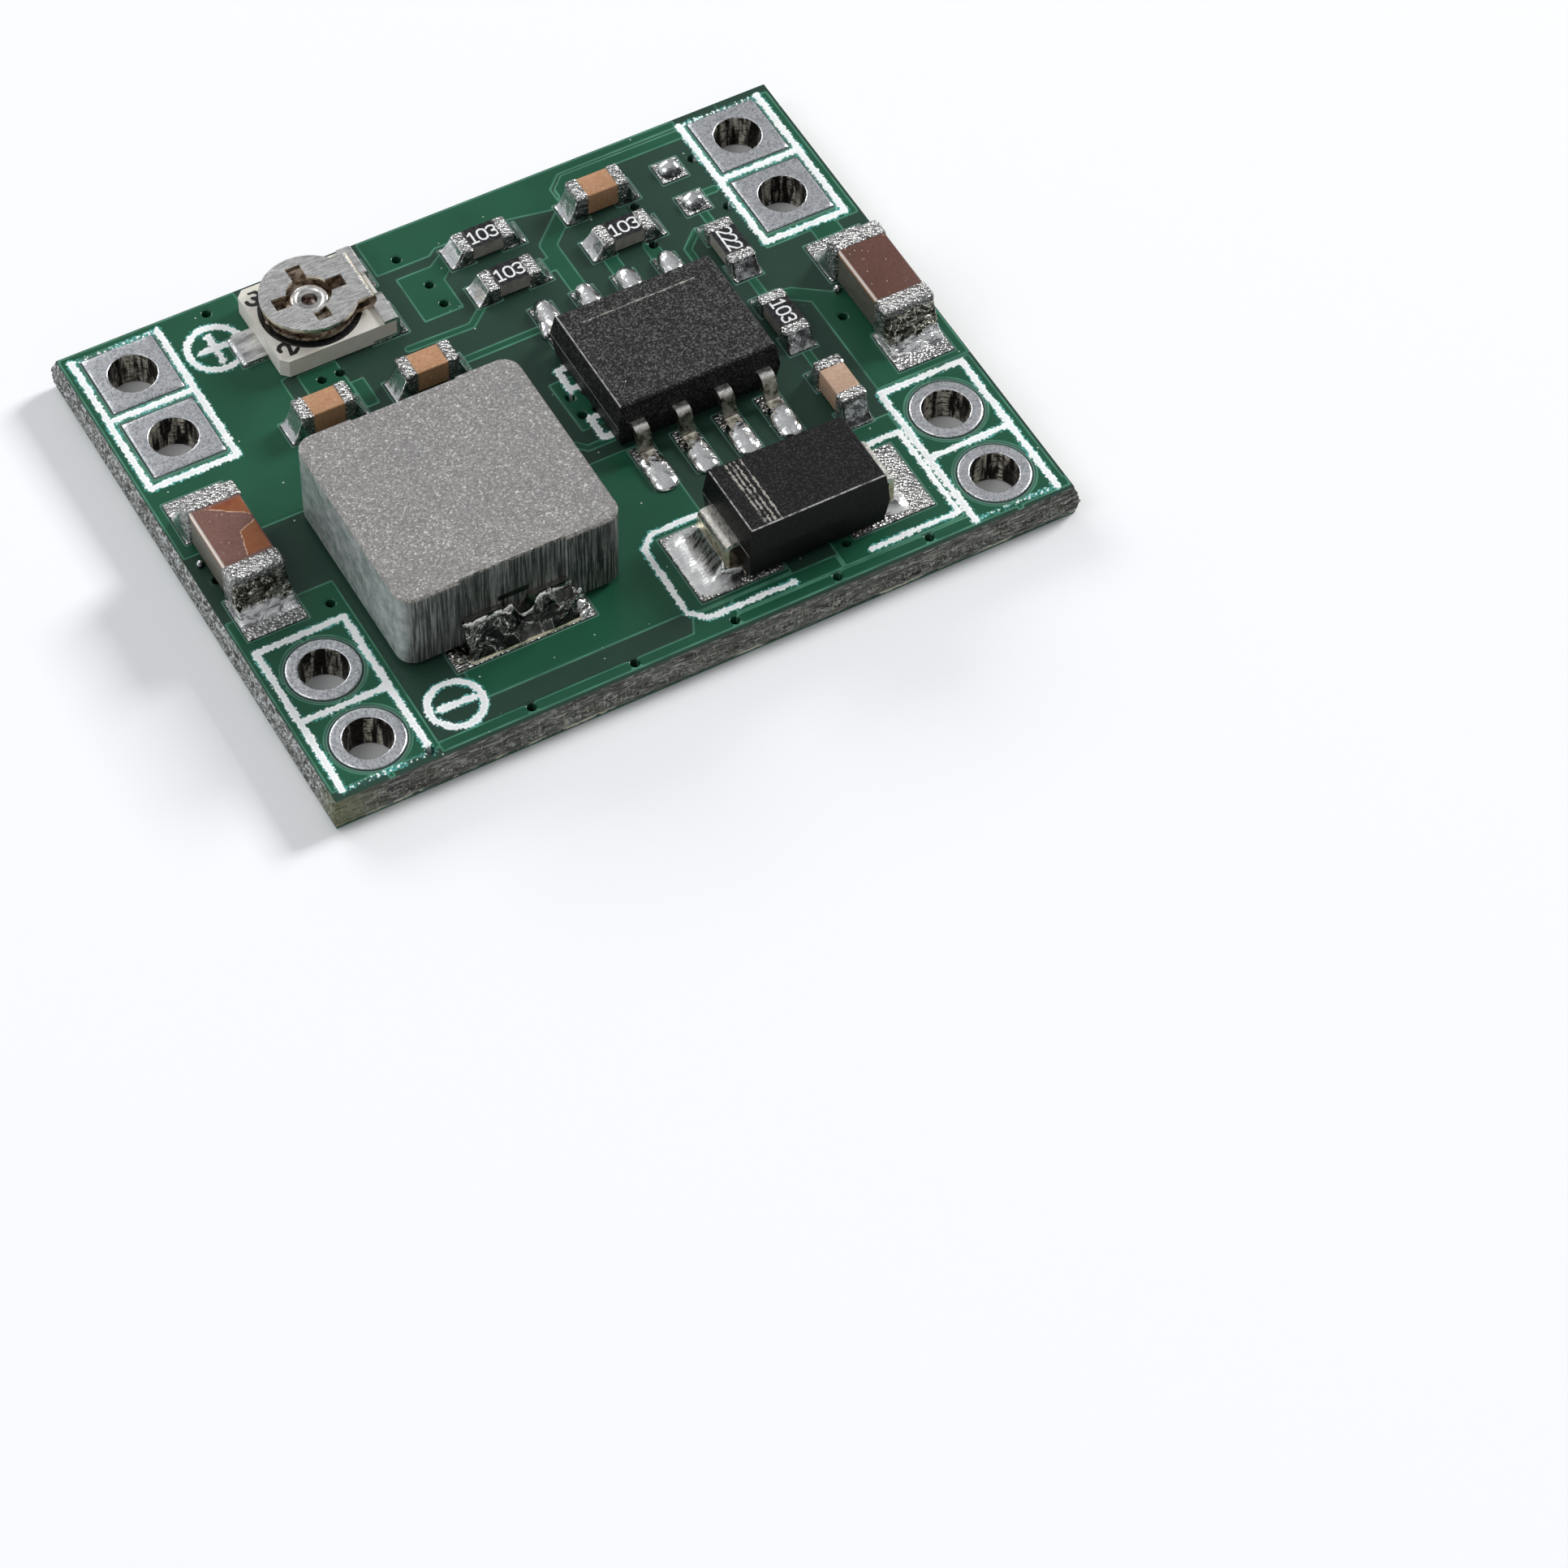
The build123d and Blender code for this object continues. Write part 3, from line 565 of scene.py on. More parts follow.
def bottom_ink(x, y):
    """White lettering of the lower face, read from below, so with Y turned over: the names of the four
    corners, and an arrow from in to out made of a thick stroke and a triangle, with a ragged rim from a
    random field."""
    down = -y
    tall = 1.7
    thick = 0.3
    ink = stroke(x, down, [(4.9, 0.05), (-3.8, -0.05)], 0.62)
    ink = either(ink, outline(x, down, [(-5.0, -0.1), (-3.5, 1.0), (-3.55, -1.2)]))
    for label, left, low, step in (("OUT-", -7.7, 4.75, 1.55), ("IN-", 3.3, 4.85, 1.5),
                                   ("OUT+", -7.6, -6.55, 1.55), ("IN+", 3.5, -6.6, 1.45)):
        ink = either(ink, word(x, down, label, left, low, tall, step, thick))
    return ink + 0.04 * patchy(x, y, 0.12, 15)


def face_grid(half, step):
    """Knots of a face: columns and rows at an even step."""
    nx, ny = int(round(2 * half[0] / step)), int(round(2 * half[1] / step))
    gx = np.linspace(-half[0], half[0], nx + 1)
    gy = np.linspace(-half[1], half[1], ny + 1)
    return gx, gy


def square_ring(k):
    """Offsets of the 8k knots round a square of side 2k, in order."""
    side = np.arange(-k, k)
    a = np.stack([side, np.full(2 * k, -k)], -1)
    b = np.stack([np.full(2 * k, k), side], -1)
    return np.concatenate([a, b, -a, -b])


def ease(distance, width):
    """From none outside to full inside, straight across a width round the border."""
    return np.clip(distance / width + 0.5, 0, 1)


def lacquer(name, half, step, level, up, copper, ink, opened, material):
    """A face's lacquer: a flat grid, raised where copper lies under it and where ink lies on it and lowered
    where it is opened, cut away at the wire holes. At each via a funnel and a tube join the square left in
    the grid to a circle, at the same angles, and a short skirt runs down round the rim."""
    gx, gy = face_grid(half, step)
    nx, ny = len(gx), len(gy)
    x, y = np.meshgrid(gx, gy, indexing="ij")
    x, y = x.ravel(), y.ravel()
    fields = {"copper": copper(x, y), "ink": ink(x, y), "bare": opened(x, y)}
    film, copper_step, ink_step = 0.004, 0.018, 0.006
    lift = film + copper_step * ease(fields["copper"], 0.09)
    lift = lift * (1 - ease(fields["bare"], 0.06)) + ink_step * ease(fields["ink"], 0.06)
    points = np.stack([x, y, level + up * lift], -1)
    keep = np.ones((nx - 1, ny - 1), bool)
    extra_points, extra_quads, extra_fields = [], [], {k: [] for k in fields}
    total = len(points)
    sx, sy = gx[1] - gx[0], gy[1] - gy[0]
    for hole, cx, cy, square in WIRE_HOLES:
        i, j = int(round((cx - gx[0]) / sx)), int(round((cy - gy[0]) / sy))
        k = int((HOLE_RADIUS + 0.04) / step)
        keep[i - k:i + k, j - k:j + k] = False
    k = 3 if step < 0.07 else 2
    for cx, cy in VIAS:
        i, j = int(round((cx - gx[0]) / sx)), int(round((cy - gy[0]) / sy))
        keep[i - k:i + k, j - k:j + k] = False
        ring = square_ring(k)
        rim = (i + ring[:, 0]) * ny + j + ring[:, 1]
        angle = np.arctan2(points[rim, 1] - cy, points[rim, 0] - cx)
        around = np.stack([np.cos(angle), np.sin(angle)], -1)
        count = len(rim)
        rings = [points[rim]]
        for radius, rise in ((VIA_RADIUS + 0.03, 0.024), (VIA_RADIUS, 0.0), (VIA_RADIUS, -0.33)):
            circle = np.array([cx, cy]) + radius * around
            rings.append(np.column_stack([circle, np.full(count, level + up * rise)]))
        start = total + sum(len(p) for p in extra_points)
        extra_points.append(np.concatenate(rings[1:]))
        index = np.concatenate([rim, start + np.arange(3 * count)]).reshape(4, count)
        nxt = np.roll(index, -1, axis=1)
        quads = np.stack([index[:-1], nxt[:-1], nxt[1:], index[1:]], -1).reshape(-1, 4)
        extra_quads.append(quads)
        for key in fields:
            extra_fields[key].append(np.tile(fields[key][rim], 3))
    quads = lattice(nx, ny)[keep.ravel()]
    edge = np.concatenate([np.arange(nx) * ny, (nx - 1) * ny + np.arange(1, ny),
                           np.arange(nx - 2, -1, -1) * ny + ny - 1, np.arange(ny - 2, 0, -1)])
    start = total + sum(len(p) for p in extra_points)
    skirt = points[edge].copy()
    skirt[:, 2] = level - up * 0.03
    extra_points.append(skirt)
    index = np.stack([edge, start + np.arange(len(edge))])
    nxt = np.roll(index, -1, axis=1)
    extra_quads.append(np.stack([index[0], index[1], nxt[1], nxt[0]], -1))
    for key in fields:
        extra_fields[key].append(fields[key][edge])
    points = np.concatenate([points] + extra_points)
    quads = np.concatenate([quads] + extra_quads)
    if up < 0:
        quads = quads[:, ::-1]
    for key in fields:
        fields[key] = np.clip(np.concatenate([fields[key]] + extra_fields[key]), -1, 1)
    return piece(name, points, quads, material, "board", fields=fields, sharp=50)


def board_rim(material):
    """The snapped edge: a path round the board at an even step, times a profile from the top score down to
    the bottom score. Each point is pushed in by the absolute values of two random fields, drawn out along the
    glass layers, times how torn the board is at that level."""
    step = 0.05
    sides = []
    hx, hy = RIM_HALF
    for a, b in (((-hx, -hy), (hx, -hy)), ((hx, -hy), (hx, hy)), ((hx, hy), (-hx, hy)),
                 ((-hx, hy), (-hx, -hy))):
        count = int(math.dist(a, b) / step)
        t = np.linspace(0, 1, count, endpoint=False)[:, None]
        sides.append(np.array(a) * (1 - t) + np.array(b) * t)
    path = np.concatenate(sides)
    profile = np.array([(TOP_SCORE, 1.045), (0.12, 0.94), (0.08, 0.84), (0.04, 0.735), (0.005, 0.66),
                        (0.0, 0.60), (0.0, 0.54), (0.0, 0.48), (0.0, 0.42), (0.0, 0.36), (0.02, 0.30),
                        (0.05, 0.20), (0.08, 0.12), (BOTTOM_SCORE, 0.055)])
    torn = np.array([0.2, 0.5, 0.6, 0.7, 1, 1.4, 1.6, 1.6, 1.5, 1, 0.6, 0.5, 0.4, 0.1])
    n, m = len(path), len(profile)
    along = np.arange(n) * step
    s, z = np.meshgrid(along, profile[:, 1], indexing="ij")
    rough = np.abs(patchy(s * 0.6, z * 6, 0.14, 21)) * 0.06 + np.abs(patchy(s, z * 9, 0.08, 22)) * 0.05
    inset = profile[:, 0] + rough * torn
    scale_x = (hx - inset) / hx
    scale_y = (hy - inset) / hy
    on_x = np.clip((np.abs(path[:, 0]) - (hx - 0.2)) / 0.2, 0, 1)[:, None]
    on_y = np.clip((np.abs(path[:, 1]) - (hy - 0.2)) / 0.2, 0, 1)[:, None]
    x = path[:, :1] * np.where(on_x > 0, scale_x, 1)
    y = path[:, 1:] * np.where(on_y > 0, scale_y, 1)
    x = np.clip(x, -(hx - inset), hx - inset)
    y = np.clip(y, -(hy - inset), hy - inset)
    points = np.stack([x, y, z], -1).reshape(-1, 3)
    quads = lattice(n, m, close_rows=True)[:, ::-1]
    return piece("board_rim", points, quads, material, "board", stands_for=("board_sheet",))


def wire_land(name, cx, cy, square, material):
    """A plated hole: a closed profile of two lands with soft rims and the barrel between them, turned round
    the hole, with streaks on the barrel from two random fields. On a square one the radius goes over,
    outside the barrel, to half the side over the greater of the angle's cosine and sine."""
    foot = LAND_RADIUS - 0.19
    bore = HOLE_RADIUS
    count = 96
    wall = np.linspace(1.03, 0.07, 13)
    r = np.concatenate([[foot, LAND_RADIUS, LAND_RADIUS, 0.985, 0.95, 0.86, 0.77, 0.71, 0.675, 0.657, bore],
                        np.full(13, bore),
                        [0.657, 0.675, 0.71, 0.86, 0.96, 0.99, LAND_RADIUS, LAND_RADIUS, foot]])
    z = np.concatenate([[1.03, 1.03, 1.06, 1.085, 1.096, 1.092, 1.095, 1.10, 1.095, 1.075, 1.05], wall,
                        [0.03, 0.01, 0.0, 0.004, 0.004, 0.015, 0.04, 0.07, 0.07]])
    inside = np.concatenate([np.zeros(9), np.ones(17), np.zeros(7)])
    angle = np.linspace(0, 2 * np.pi, count, endpoint=False)
    radius = np.repeat(r[None, :], count, 0)
    if square:
        share = np.clip((r - foot) / (LAND_RADIUS - foot), 0, 1)
        side = LAND_HALF / np.maximum(np.abs(np.cos(angle)), np.abs(np.sin(angle)))
        radius = radius * (1 - share) + share * side[:, None] * (1 - (1 - np.clip(r, 0.9, 1)) * 0.8)
    a, h = np.meshgrid(angle, z, indexing="ij")
    streak = np.abs(patchy(a * 2.2 + cx, h * 0.3 + cy, 0.25, 31))
    streak = streak + 0.5 * np.abs(patchy(a * 2.2, h + cx, 0.12, 32))
    radius = radius + 0.02 * streak * inside * (r < bore + 0.01)
    points = np.stack([cx + radius * np.cos(a), cy + radius * np.sin(a), h], -1).reshape(-1, 3)
    quads = lattice(count, len(r), close_rows=True, close_columns=True)
    fields = {"wall": np.repeat(inside[None, :], count, 0).ravel()}
    return piece(name + "_plating", points, quads, material, "tinned_copper", stands_for=(name,),
                 fields=fields)


def chip_ends(name, band, radius, material):
    """The two metal ends of a small part: rounded blocks, a band long, at both ends of its solid."""
    low, high = extent(name + "_ends")[:2]
    axis = int(high[1] - low[1] > high[0] - low[0])
    blocks = []
    for near in (low[axis], high[axis] - band):
        start = list(low)
        end = list(high)
        start[axis] = near
        end[axis] = near + band
        blocks.append(rounded_block(start[0], end[0], start[1], end[1], start[2], end[2], radius))
    return piece(name + "_caps", *join(*blocks), material, "plated_ends", stands_for=(name + "_ends",),
                 sharp=60)


def ceramic_body(name, inset, radius, material):
    """The ceramic between a capacitor's ends: a rounded block, inset from their outline and a ledge below
    their top."""
    low, high = extent(name + "_ends")[:2]
    block = rounded_block(low[0] + inset, high[0] - inset, low[1] + inset, high[1] - inset,
                          low[2] + CERAMIC_LEDGE, high[2] - CERAMIC_LEDGE, radius)
    return piece(name + "_ceramic", *block, material, "capacitor_ceramic", stands_for=(name + "_block",),
                 sharp=60)


def turned(axis, radii, levels, count):
    """Points and quads of a profile turned round an upright axis, its last point on the axis as a pole."""
    angle, radius = np.meshgrid(np.linspace(0, 2 * np.pi, count, endpoint=False), radii, indexing="ij")
    level = np.broadcast_to(levels, angle.shape)
    points = np.stack([axis[0] + radius * np.cos(angle), axis[1] + radius * np.sin(angle), level], -1)
    return points.reshape(-1, 3), lattice(count, len(radii), close_rows=True)[:, ::-1]


def eyelet(material):
    """Rolled rim of the trimmer's eyelet: a profile over the lip and down the bore in rings, turned."""
    radii = np.array([0.52, 0.515, 0.49, 0.45, 0.40, 0.36, 0.33, 0.31, 0.30, 0.27, 0.275, 0.24, 0.245, 0.20,
                      0.18, 0.12, 0.0])
    levels = np.array([2.04, 2.07, 2.095, 2.105, 2.105, 2.09, 2.06, 2.02, 1.98, 1.95, 1.92, 1.89, 1.86, 1.83,
                       1.80, 1.79, 1.785])
    return piece("eyelet_rim", *turned(TRIMMER_AXIS, radii, levels, 64), material, "lead_metal")


def dimple_bowl(material):
    """Glossy bowl of the chip's corner dimple: a steep rim and a flat floor below the chip's top, turned."""
    axis = (CHIP[0] - 1.67, CHIP[1] - 1.17)
    radii = np.array([0.168, 0.155, 0.14, 0.12, 0.09, 0.05, 0.0])
    levels = CHIP_TOP - np.array([0.003, 0.013, 0.025, 0.034, 0.037, 0.038, 0.0385])
    return piece("dimple_bowl", *turned(axis, radii, levels, 32), material, "black_moulding")


def chip_solder():
    """Solder at both ends of every small part, and at the far ends of the large ones."""
    drops = []
    for number, (name, (cx, cy, upright)) in enumerate({**SMALL_PARTS, **LARGE_PARTS}.items()):
        large = name in LARGE_PARTS
        tall = name.endswith("capacitor")
        length, width = LARGE_SIZE if large else SMALL_SIZE
        back = 0.475 if large else 0.342
        climb = 0.8 if large else (0.6 if tall else 0.41)
        reach = 0.62 if large else 0.33
        for way in (0,) if large else (0, 180):
            heading = way + (90 if upright else 0)
            x, y = placed(length / 2, 0, heading, cx, cy)
            drops.append(meniscus(x, y, heading, width / 2, back, climb, reach, 0.06 if large else 0.05,
                                  bend=1.9 if large else 1.7, ripple=0.03 if large else 0.02,
                                  side_climb=0.35, seed=40 + 2 * number + way // 180))
    return drops


def dark_solder():
    """Dull solder outside the inductor's far terminal and at the corner of its near land."""
    low, high, middle = extent("inductor_terminal_far")
    return [meniscus(middle[0], high[1], 90, (high[0] - low[0]) / 2, 0.3, 0.62, 0.57, 0.1, bend=1.25,
                     ripple=0.03, side_climb=0.3, seed=74),
            pebble(-6.03, -5.74, -60, 0.7, 0.2, 0.10, 0.08, base=SEAT + 0.02, ripple=0.02, seed=75)]


def end_solder():
    """Rippled solder at the near ends of the two large capacitors."""
    length, width = LARGE_SIZE
    return [meniscus(cx, cy - length / 2, -90, width / 2, 0.45, 1.0, 0.60, 0.06, bend=1.7, ripple=0.10,
                     side_climb=0.3, seed=90 + number)
            for number, (cx, cy, upright) in enumerate(LARGE_PARTS.values())]


def strip_solder(material):
    """Crumpled solder over the inductor's near strip: a sloping curve, a power of the share t of its way from
    the strip's top edge down to the land, carried along X. Random fields times the root of a half sine of t
    push every point, and the top edge dips in one bite, e to minus the fourth power of the way from its
    middle. It closes underneath, and each end shrinks to a point."""
    low, high = extent("inductor_terminal_near")[:2]
    x = np.linspace(low[0] - 0.06, high[0] + 0.06, 105)
    t = np.linspace(0, 1, 26)
    foot = SEAT + 0.015
    face, back, land_end = -5.65, -5.60, -6.18
    back_top = 1.40
    tip_y, tip_z = -5.72, 1.3
    bite_middle = -4.02
    crest = high[2] - 0.02 + 0.05 * patchy(x, 0 * x, 0.22, 120) + 0.03 * patchy(x, 0 * x, 0.08, 121)
    crest = crest - 0.48 * np.exp(-np.abs((x - bite_middle) / 0.30) ** 4)
    gx, gt = np.meshgrid(x, t, indexing="ij")
    wave = patchy(gx, gt, 0.30, 122) * 0.7 + patchy(gx, gt, 0.12, 123) * 0.3
    half_sine = np.sin(np.pi * gt)
    z = foot + (crest[:, None] - foot) * (1 - gt) ** 1.1 + 0.035 * wave * half_sine ** 0.5
    y = face - 0.55 * gt ** 1.25 - 0.05 * (wave + 0.4) * half_sine ** 0.5 - 0.02 * half_sine
    back_y = np.array([land_end, back, back])
    back_z = np.array([SEAT - 0.01, SEAT - 0.01, back_top])
    ring_y = np.column_stack([y, np.tile(back_y, (len(x), 1))])
    ring_z = np.column_stack([z, np.tile(back_z, (len(x), 1))])
    ring_x = np.repeat(x[:, None], ring_y.shape[1], 1)
    edge = np.column_stack([np.clip(1.2 - gt / 0.10, 0, 1), np.zeros((len(x), 3))])
    ends = [np.full((1, ring_y.shape[1]), v) for v in (x[0], x[-1], tip_y, tip_z, 0.0)]
    gx, gy, gz, ge = (np.vstack(rows) for rows in ((ends[0], ring_x, ends[1]), (ends[2], ring_y, ends[2]),
                                                   (ends[3], ring_z, ends[3]), (ends[4], edge, ends[4])))
    points = np.stack([gx, gy, gz], -1).reshape(-1, 3)
    quads = lattice(*gx.shape, close_columns=True)[:, ::-1]
    return piece("strip_solder", points, quads, material, "solder", fields={"edge": ge.ravel()}, sharp=60)


def lead_solder():
    """Bright drops at the chip's eight leads, and one beside the first."""
    near_row, far_row = -2.80, 3.47
    drops = []
    for number, x in enumerate(LEAD_PLACES):
        first = number == 0
        drops.append(pebble(x, near_row, -90, 1.34 if first else 1.24, 0.39 if first else 0.35,
                            0.26, 0.14, blunt=4.5, ripple=0.025, seed=61 + number))
        drops.append(pebble(x, far_row, 90, 1.22, 0.34, 0.34, 0.34, blunt=2.6, ripple=0.02,
                            seed=66 + number))
    drops.append(pebble(1.22, 3.2, 70, 0.9, 0.18, 0.2, 0.16, ripple=0.01, seed=70))
    return drops


def lumps(places, heading, wide, start, finish, ripple, seed):
    """Drops of solder at places given as X, Y, size and level, each as wide and high as shares of its
    size."""
    return [pebble(x, y, heading, size, size * wide, size * start, size * finish, base=level, blunt=2.2,
                   ripple=ripple, seed=seed + number) for number, (x, y, size, level) in enumerate(places)]


def pool_solder():
    """Pools at the diode's plates, and bright lumps where the inductor's strip ends on its land."""
    low, high, middle = extent("diode_cathode_lead")
    half = 0.725
    cathode = meniscus(low[0], middle[1], 180, half, 0.6, 0.56, 0.86, 0.44, bend=3.0, ripple=0.03, seed=71)
    low, high, middle = extent("diode_anode_lead")
    anode = meniscus(high[0], middle[1], 0, half, 0.6, 0.35, 0.4, 0.3, bend=2.4, ripple=0.02, seed=72)
    beside_strip = ((-2.50, -5.72, 0.42, SEAT), (-2.44, -5.98, 0.30, SEAT), (-2.60, -6.05, 0.24, SEAT),
                    (-2.36, -5.50, 0.26, SEAT), (-2.62, -5.60, 0.40, 1.42), (-2.46, -5.59, 0.24, 1.50),
                    (-2.66, -5.62, 0.26, 1.68))
    return [cathode, anode, *lumps(beside_strip, 20, 0.45, 0.5, 0.4, 0.04, 110)]


def solder_drops():
    """Solder at the trimmer's terminals, on the empty place's lands, and two balls on the lacquer."""
    up_terminals = ((-2.36, 5.58, 0.34, 1.5), (-2.30, 5.24, 0.24, 1.3), (-2.44, 5.86, 0.2, 1.55),
                    (-2.27, 5.75, 0.18, 1.25), (-2.36, 7.05, 0.26, 1.5), (-2.30, 7.42, 0.2, 1.3))
    drops = lumps(up_terminals, 60, 0.42, 0.6, 0.5, 0.0, 100)
    for name in ("trimmer_end_terminal_near", "trimmer_end_terminal_far"):
        low, high, middle = extent(name)
        drops.append(meniscus(high[0], middle[1], 0, 0.5, 0.5, 0.42, 0.23, 0.03, bend=2.0, ripple=0.03,
                              seed=75))
    low, high, middle = extent("trimmer_wiper_terminal")
    drops.append(meniscus(low[0], middle[1], 180, 0.53, 0.3, 0.06, 0.11, 0.02, bend=2.0, seed=76))
    for x, y in EMPTY_LANDS:
        drops.append(pebble(x, y, 0, 0.70, 0.33, 0.26, 0.26, blunt=2.2, ripple=0.02, seed=77))
    for x, y, size in ((-10.55, 0.15, 0.22), (8.82, 0.62, 0.24)):
        drops.append(pebble(x, y, 0, size, size / 2, size * 0.9, size * 0.9, base=SHEET_TOP + 0.02,
                            blunt=2.0))
    return drops


# Materials

class Finish:
    """A material whose nodes are added line by line, and which is given to its pieces by use."""

    def __init__(self, name, **values):
        """A new material with numbers set straight on its shader."""
        self.material = bpy.data.materials.new(name)
        self.material.use_nodes = True
        self.nodes = self.material.node_tree.nodes
        self.links = self.material.node_tree.links
        self.shader = self.nodes["Principled BSDF"]
        for key, value in values.items():
            self.shader.inputs[key.replace("_", " ")].default_value = value
        self.coords = self.nodes.new("ShaderNodeTexCoord").outputs["Object"]

    def give(self, socket, value):
        """A number or a colour is set on a socket, and an output of another node is linked to it."""
        if isinstance(value, tuple):
            socket.default_value = (*value, 1.0)
        elif isinstance(value, (int, float)):
            socket.default_value = value
        else:
            self.links.new(value, socket)

    def stretched(self, x=1.0, y=1.0, z=1.0):
        """Object coordinates in millimetres, stretched along the axes."""
        node = self.nodes.new("ShaderNodeMapping")
        node.inputs["Scale"].default_value = (x / MM, y / MM, z / MM)
        self.give(node.inputs["Vector"], self.coords)
        return node.outputs["Vector"]

    def noise(self, scale, detail=2.0, rough=0.5, at=None, distortion=0.0):
        """Layered random field with so many patches to a millimetre, from none to one."""
        node = self.nodes.new("ShaderNodeTexNoise")
        node.inputs["Scale"].default_value = scale
        node.inputs["Detail"].default_value = detail
        node.inputs["Roughness"].default_value = rough
        node.inputs["Distortion"].default_value = distortion
        self.give(node.inputs["Vector"], at or self.stretched())
        return node.outputs["Fac"]

    def cells(self, scale, at=None):
        """Random cells, so many to a millimetre: the distance to the nearest one's point, and its colour."""
        node = self.nodes.new("ShaderNodeTexVoronoi")
        node.inputs["Scale"].default_value = scale
        self.give(node.inputs["Vector"], at or self.stretched())
        return node.outputs

    def channel(self, vector, axis):
        """One of the three numbers of a vector."""
        node = self.nodes.new("ShaderNodeSeparateXYZ")
        self.give(node.inputs["Vector"], vector)
        return node.outputs[axis]

    def facing(self, axis, low, high):
        """How far a face looks along an axis, from none to full between two values of its normal."""
        face = self.nodes.new("ShaderNodeNewGeometry").outputs["True Normal"]
        return self.span(self.channel(face, axis), low, high)

    def field(self, name):
        """The value that the mesh carries at each point under a name, and none where it has no such field."""
        node = self.nodes.new("ShaderNodeAttribute")
        node.attribute_name = name
        return node.outputs["Fac"]

    def math(self, kind, a, b=0.0):
        """One sum of two values, or of the first alone where the kind takes one."""
        node = self.nodes.new("ShaderNodeMath")
        node.operation = kind
        self.give(node.inputs[0], a)
        self.give(node.inputs[1], b)
        return node.outputs[0]

    def span(self, value, low, high, to_low=0.0, to_high=1.0, smooth=False):
        """A value's share of the way from low to high, held between none and full, carried over to another
        range; a smooth one eases at both ends."""
        node = self.nodes.new("ShaderNodeMapRange")
        if smooth:
            node.interpolation_type = "SMOOTHSTEP"
        for key, number in (("From Min", low), ("From Max", high), ("To Min", to_low), ("To Max", to_high)):
            node.inputs[key].default_value = number
        self.give(node.inputs["Value"], value)
        return node.outputs["Result"]

    def blend(self, factor, a, b):
        """A colour between two: the first times one minus the factor, plus the second times the factor."""
        node = self.nodes.new("ShaderNodeMix")
        node.data_type = "RGBA"
        self.give(node.inputs[0], factor)
        self.give(node.inputs[6], a)
        self.give(node.inputs[7], b)
        return node.outputs[2]

    def bump(self, height, depth, strength=1.0):
        """Bumps of this depth in millimetres, over those that the shader has so far."""
        node = self.nodes.new("ShaderNodeBump")
        node.inputs["Strength"].default_value = strength
        node.inputs["Distance"].default_value = depth * MM
        self.give(node.inputs["Height"], height)
        normal = self.shader.inputs["Normal"]
        if normal.links:
            self.give(node.inputs["Normal"], normal.links[0].from_socket)
        self.give(normal, node.outputs["Normal"])

    def use(self, **sockets):
        """The material, with what drives each of its shader's sockets linked."""
        for key, value in sockets.items():
            self.give(self.shader.inputs[key.replace("_", " ")], value)
        return self.material


def lacquer_finish(name, over_copper, over_laminate):
    """Green lacquer: brighter over copper, a pale painted highlight line at copper's edge, white ink on it, whiter
    at its rim as painted highlight and greyer inside as painted shade, and bare gaps with a pale painted glint
    round them.
    """
    f = Finish(name, Specular_IOR_Level=0.25)
    copper = f.field("copper")
    ink = f.field("ink")
    bare = f.field("bare")
    cloudy = f.noise(0.35, 3)
    fine = f.noise(9.0, 3)
    bright = f.blend(f.span(cloudy, 0.35, 0.65), over_copper, tuple(0.8 * c for c in over_copper))
    dark = f.blend(f.span(cloudy, 0.3, 0.7), over_laminate, tuple(0.8 * c for c in over_laminate))
    color = f.blend(f.span(copper, -0.02, 0.02, smooth=True), dark, bright)
    # Pale line along copper's edge: painted highlight.
    edge = f.math("SUBTRACT", 1.0, f.span(f.math("ABSOLUTE", copper), 0.008, 0.04))
    edge = f.math("MULTIPLY", edge, f.span(f.noise(1.2, 2), 0.25, 0.7, 0.2, 0.75))
    color = f.blend(edge, color, (0.12, 0.36, 0.24))
    speck = f.cells(2.6)
    dust = f.math("MULTIPLY", f.math("LESS_THAN", speck["Distance"], 0.07),
                  f.math("GREATER_THAN", f.noise(1.7, 0), 0.54))
    color = f.blend(f.math("MULTIPLY", dust, 0.7), color, (0.6, 0.68, 0.62))
    color = f.blend(f.span(bare, -0.015, 0.015), color, (0.02, 0.04, 0.03))
    # Pale rim round the bare gaps: painted glint on the lacquer's edge.
    rim = f.math("SUBTRACT", 1.0, f.span(f.math("ABSOLUTE", bare), 0.0, 0.035))
    color = f.blend(f.math("MULTIPLY", rim, 0.45), color, (0.25, 0.5, 0.4))
    grain = f.math("ADD", ink, f.span(f.cells(12.0)["Distance"], 0.1, 0.7, 0.035, -0.03))
    fringe = f.math("MULTIPLY", f.span(grain, -0.065, -0.025), f.span(f.noise(1.3, 1), 0.4, 0.6, 0.15, 0.8))
    color = f.blend(fringe, color, (0.13, 0.50, 0.46))
    white = f.span(grain, -0.02, 0.008)
    # Ink white at its rim and greyer inside: painted highlight on the rim, painted shade inside.
    inner = f.blend(f.span(cloudy, 0.35, 0.6), (0.93, 0.95, 0.945), (0.80, 0.83, 0.83))
    color = f.blend(white, color, f.blend(f.span(grain, 0.03, 0.07), (0.97, 0.98, 0.975), inner))
    f.bump(fine, 0.002, 0.5)
    f.bump(white, 0.012, 0.6)
    return f.use(Base_Color=color, Roughness=f.span(white, 0, 1, 0.24, 0.6))


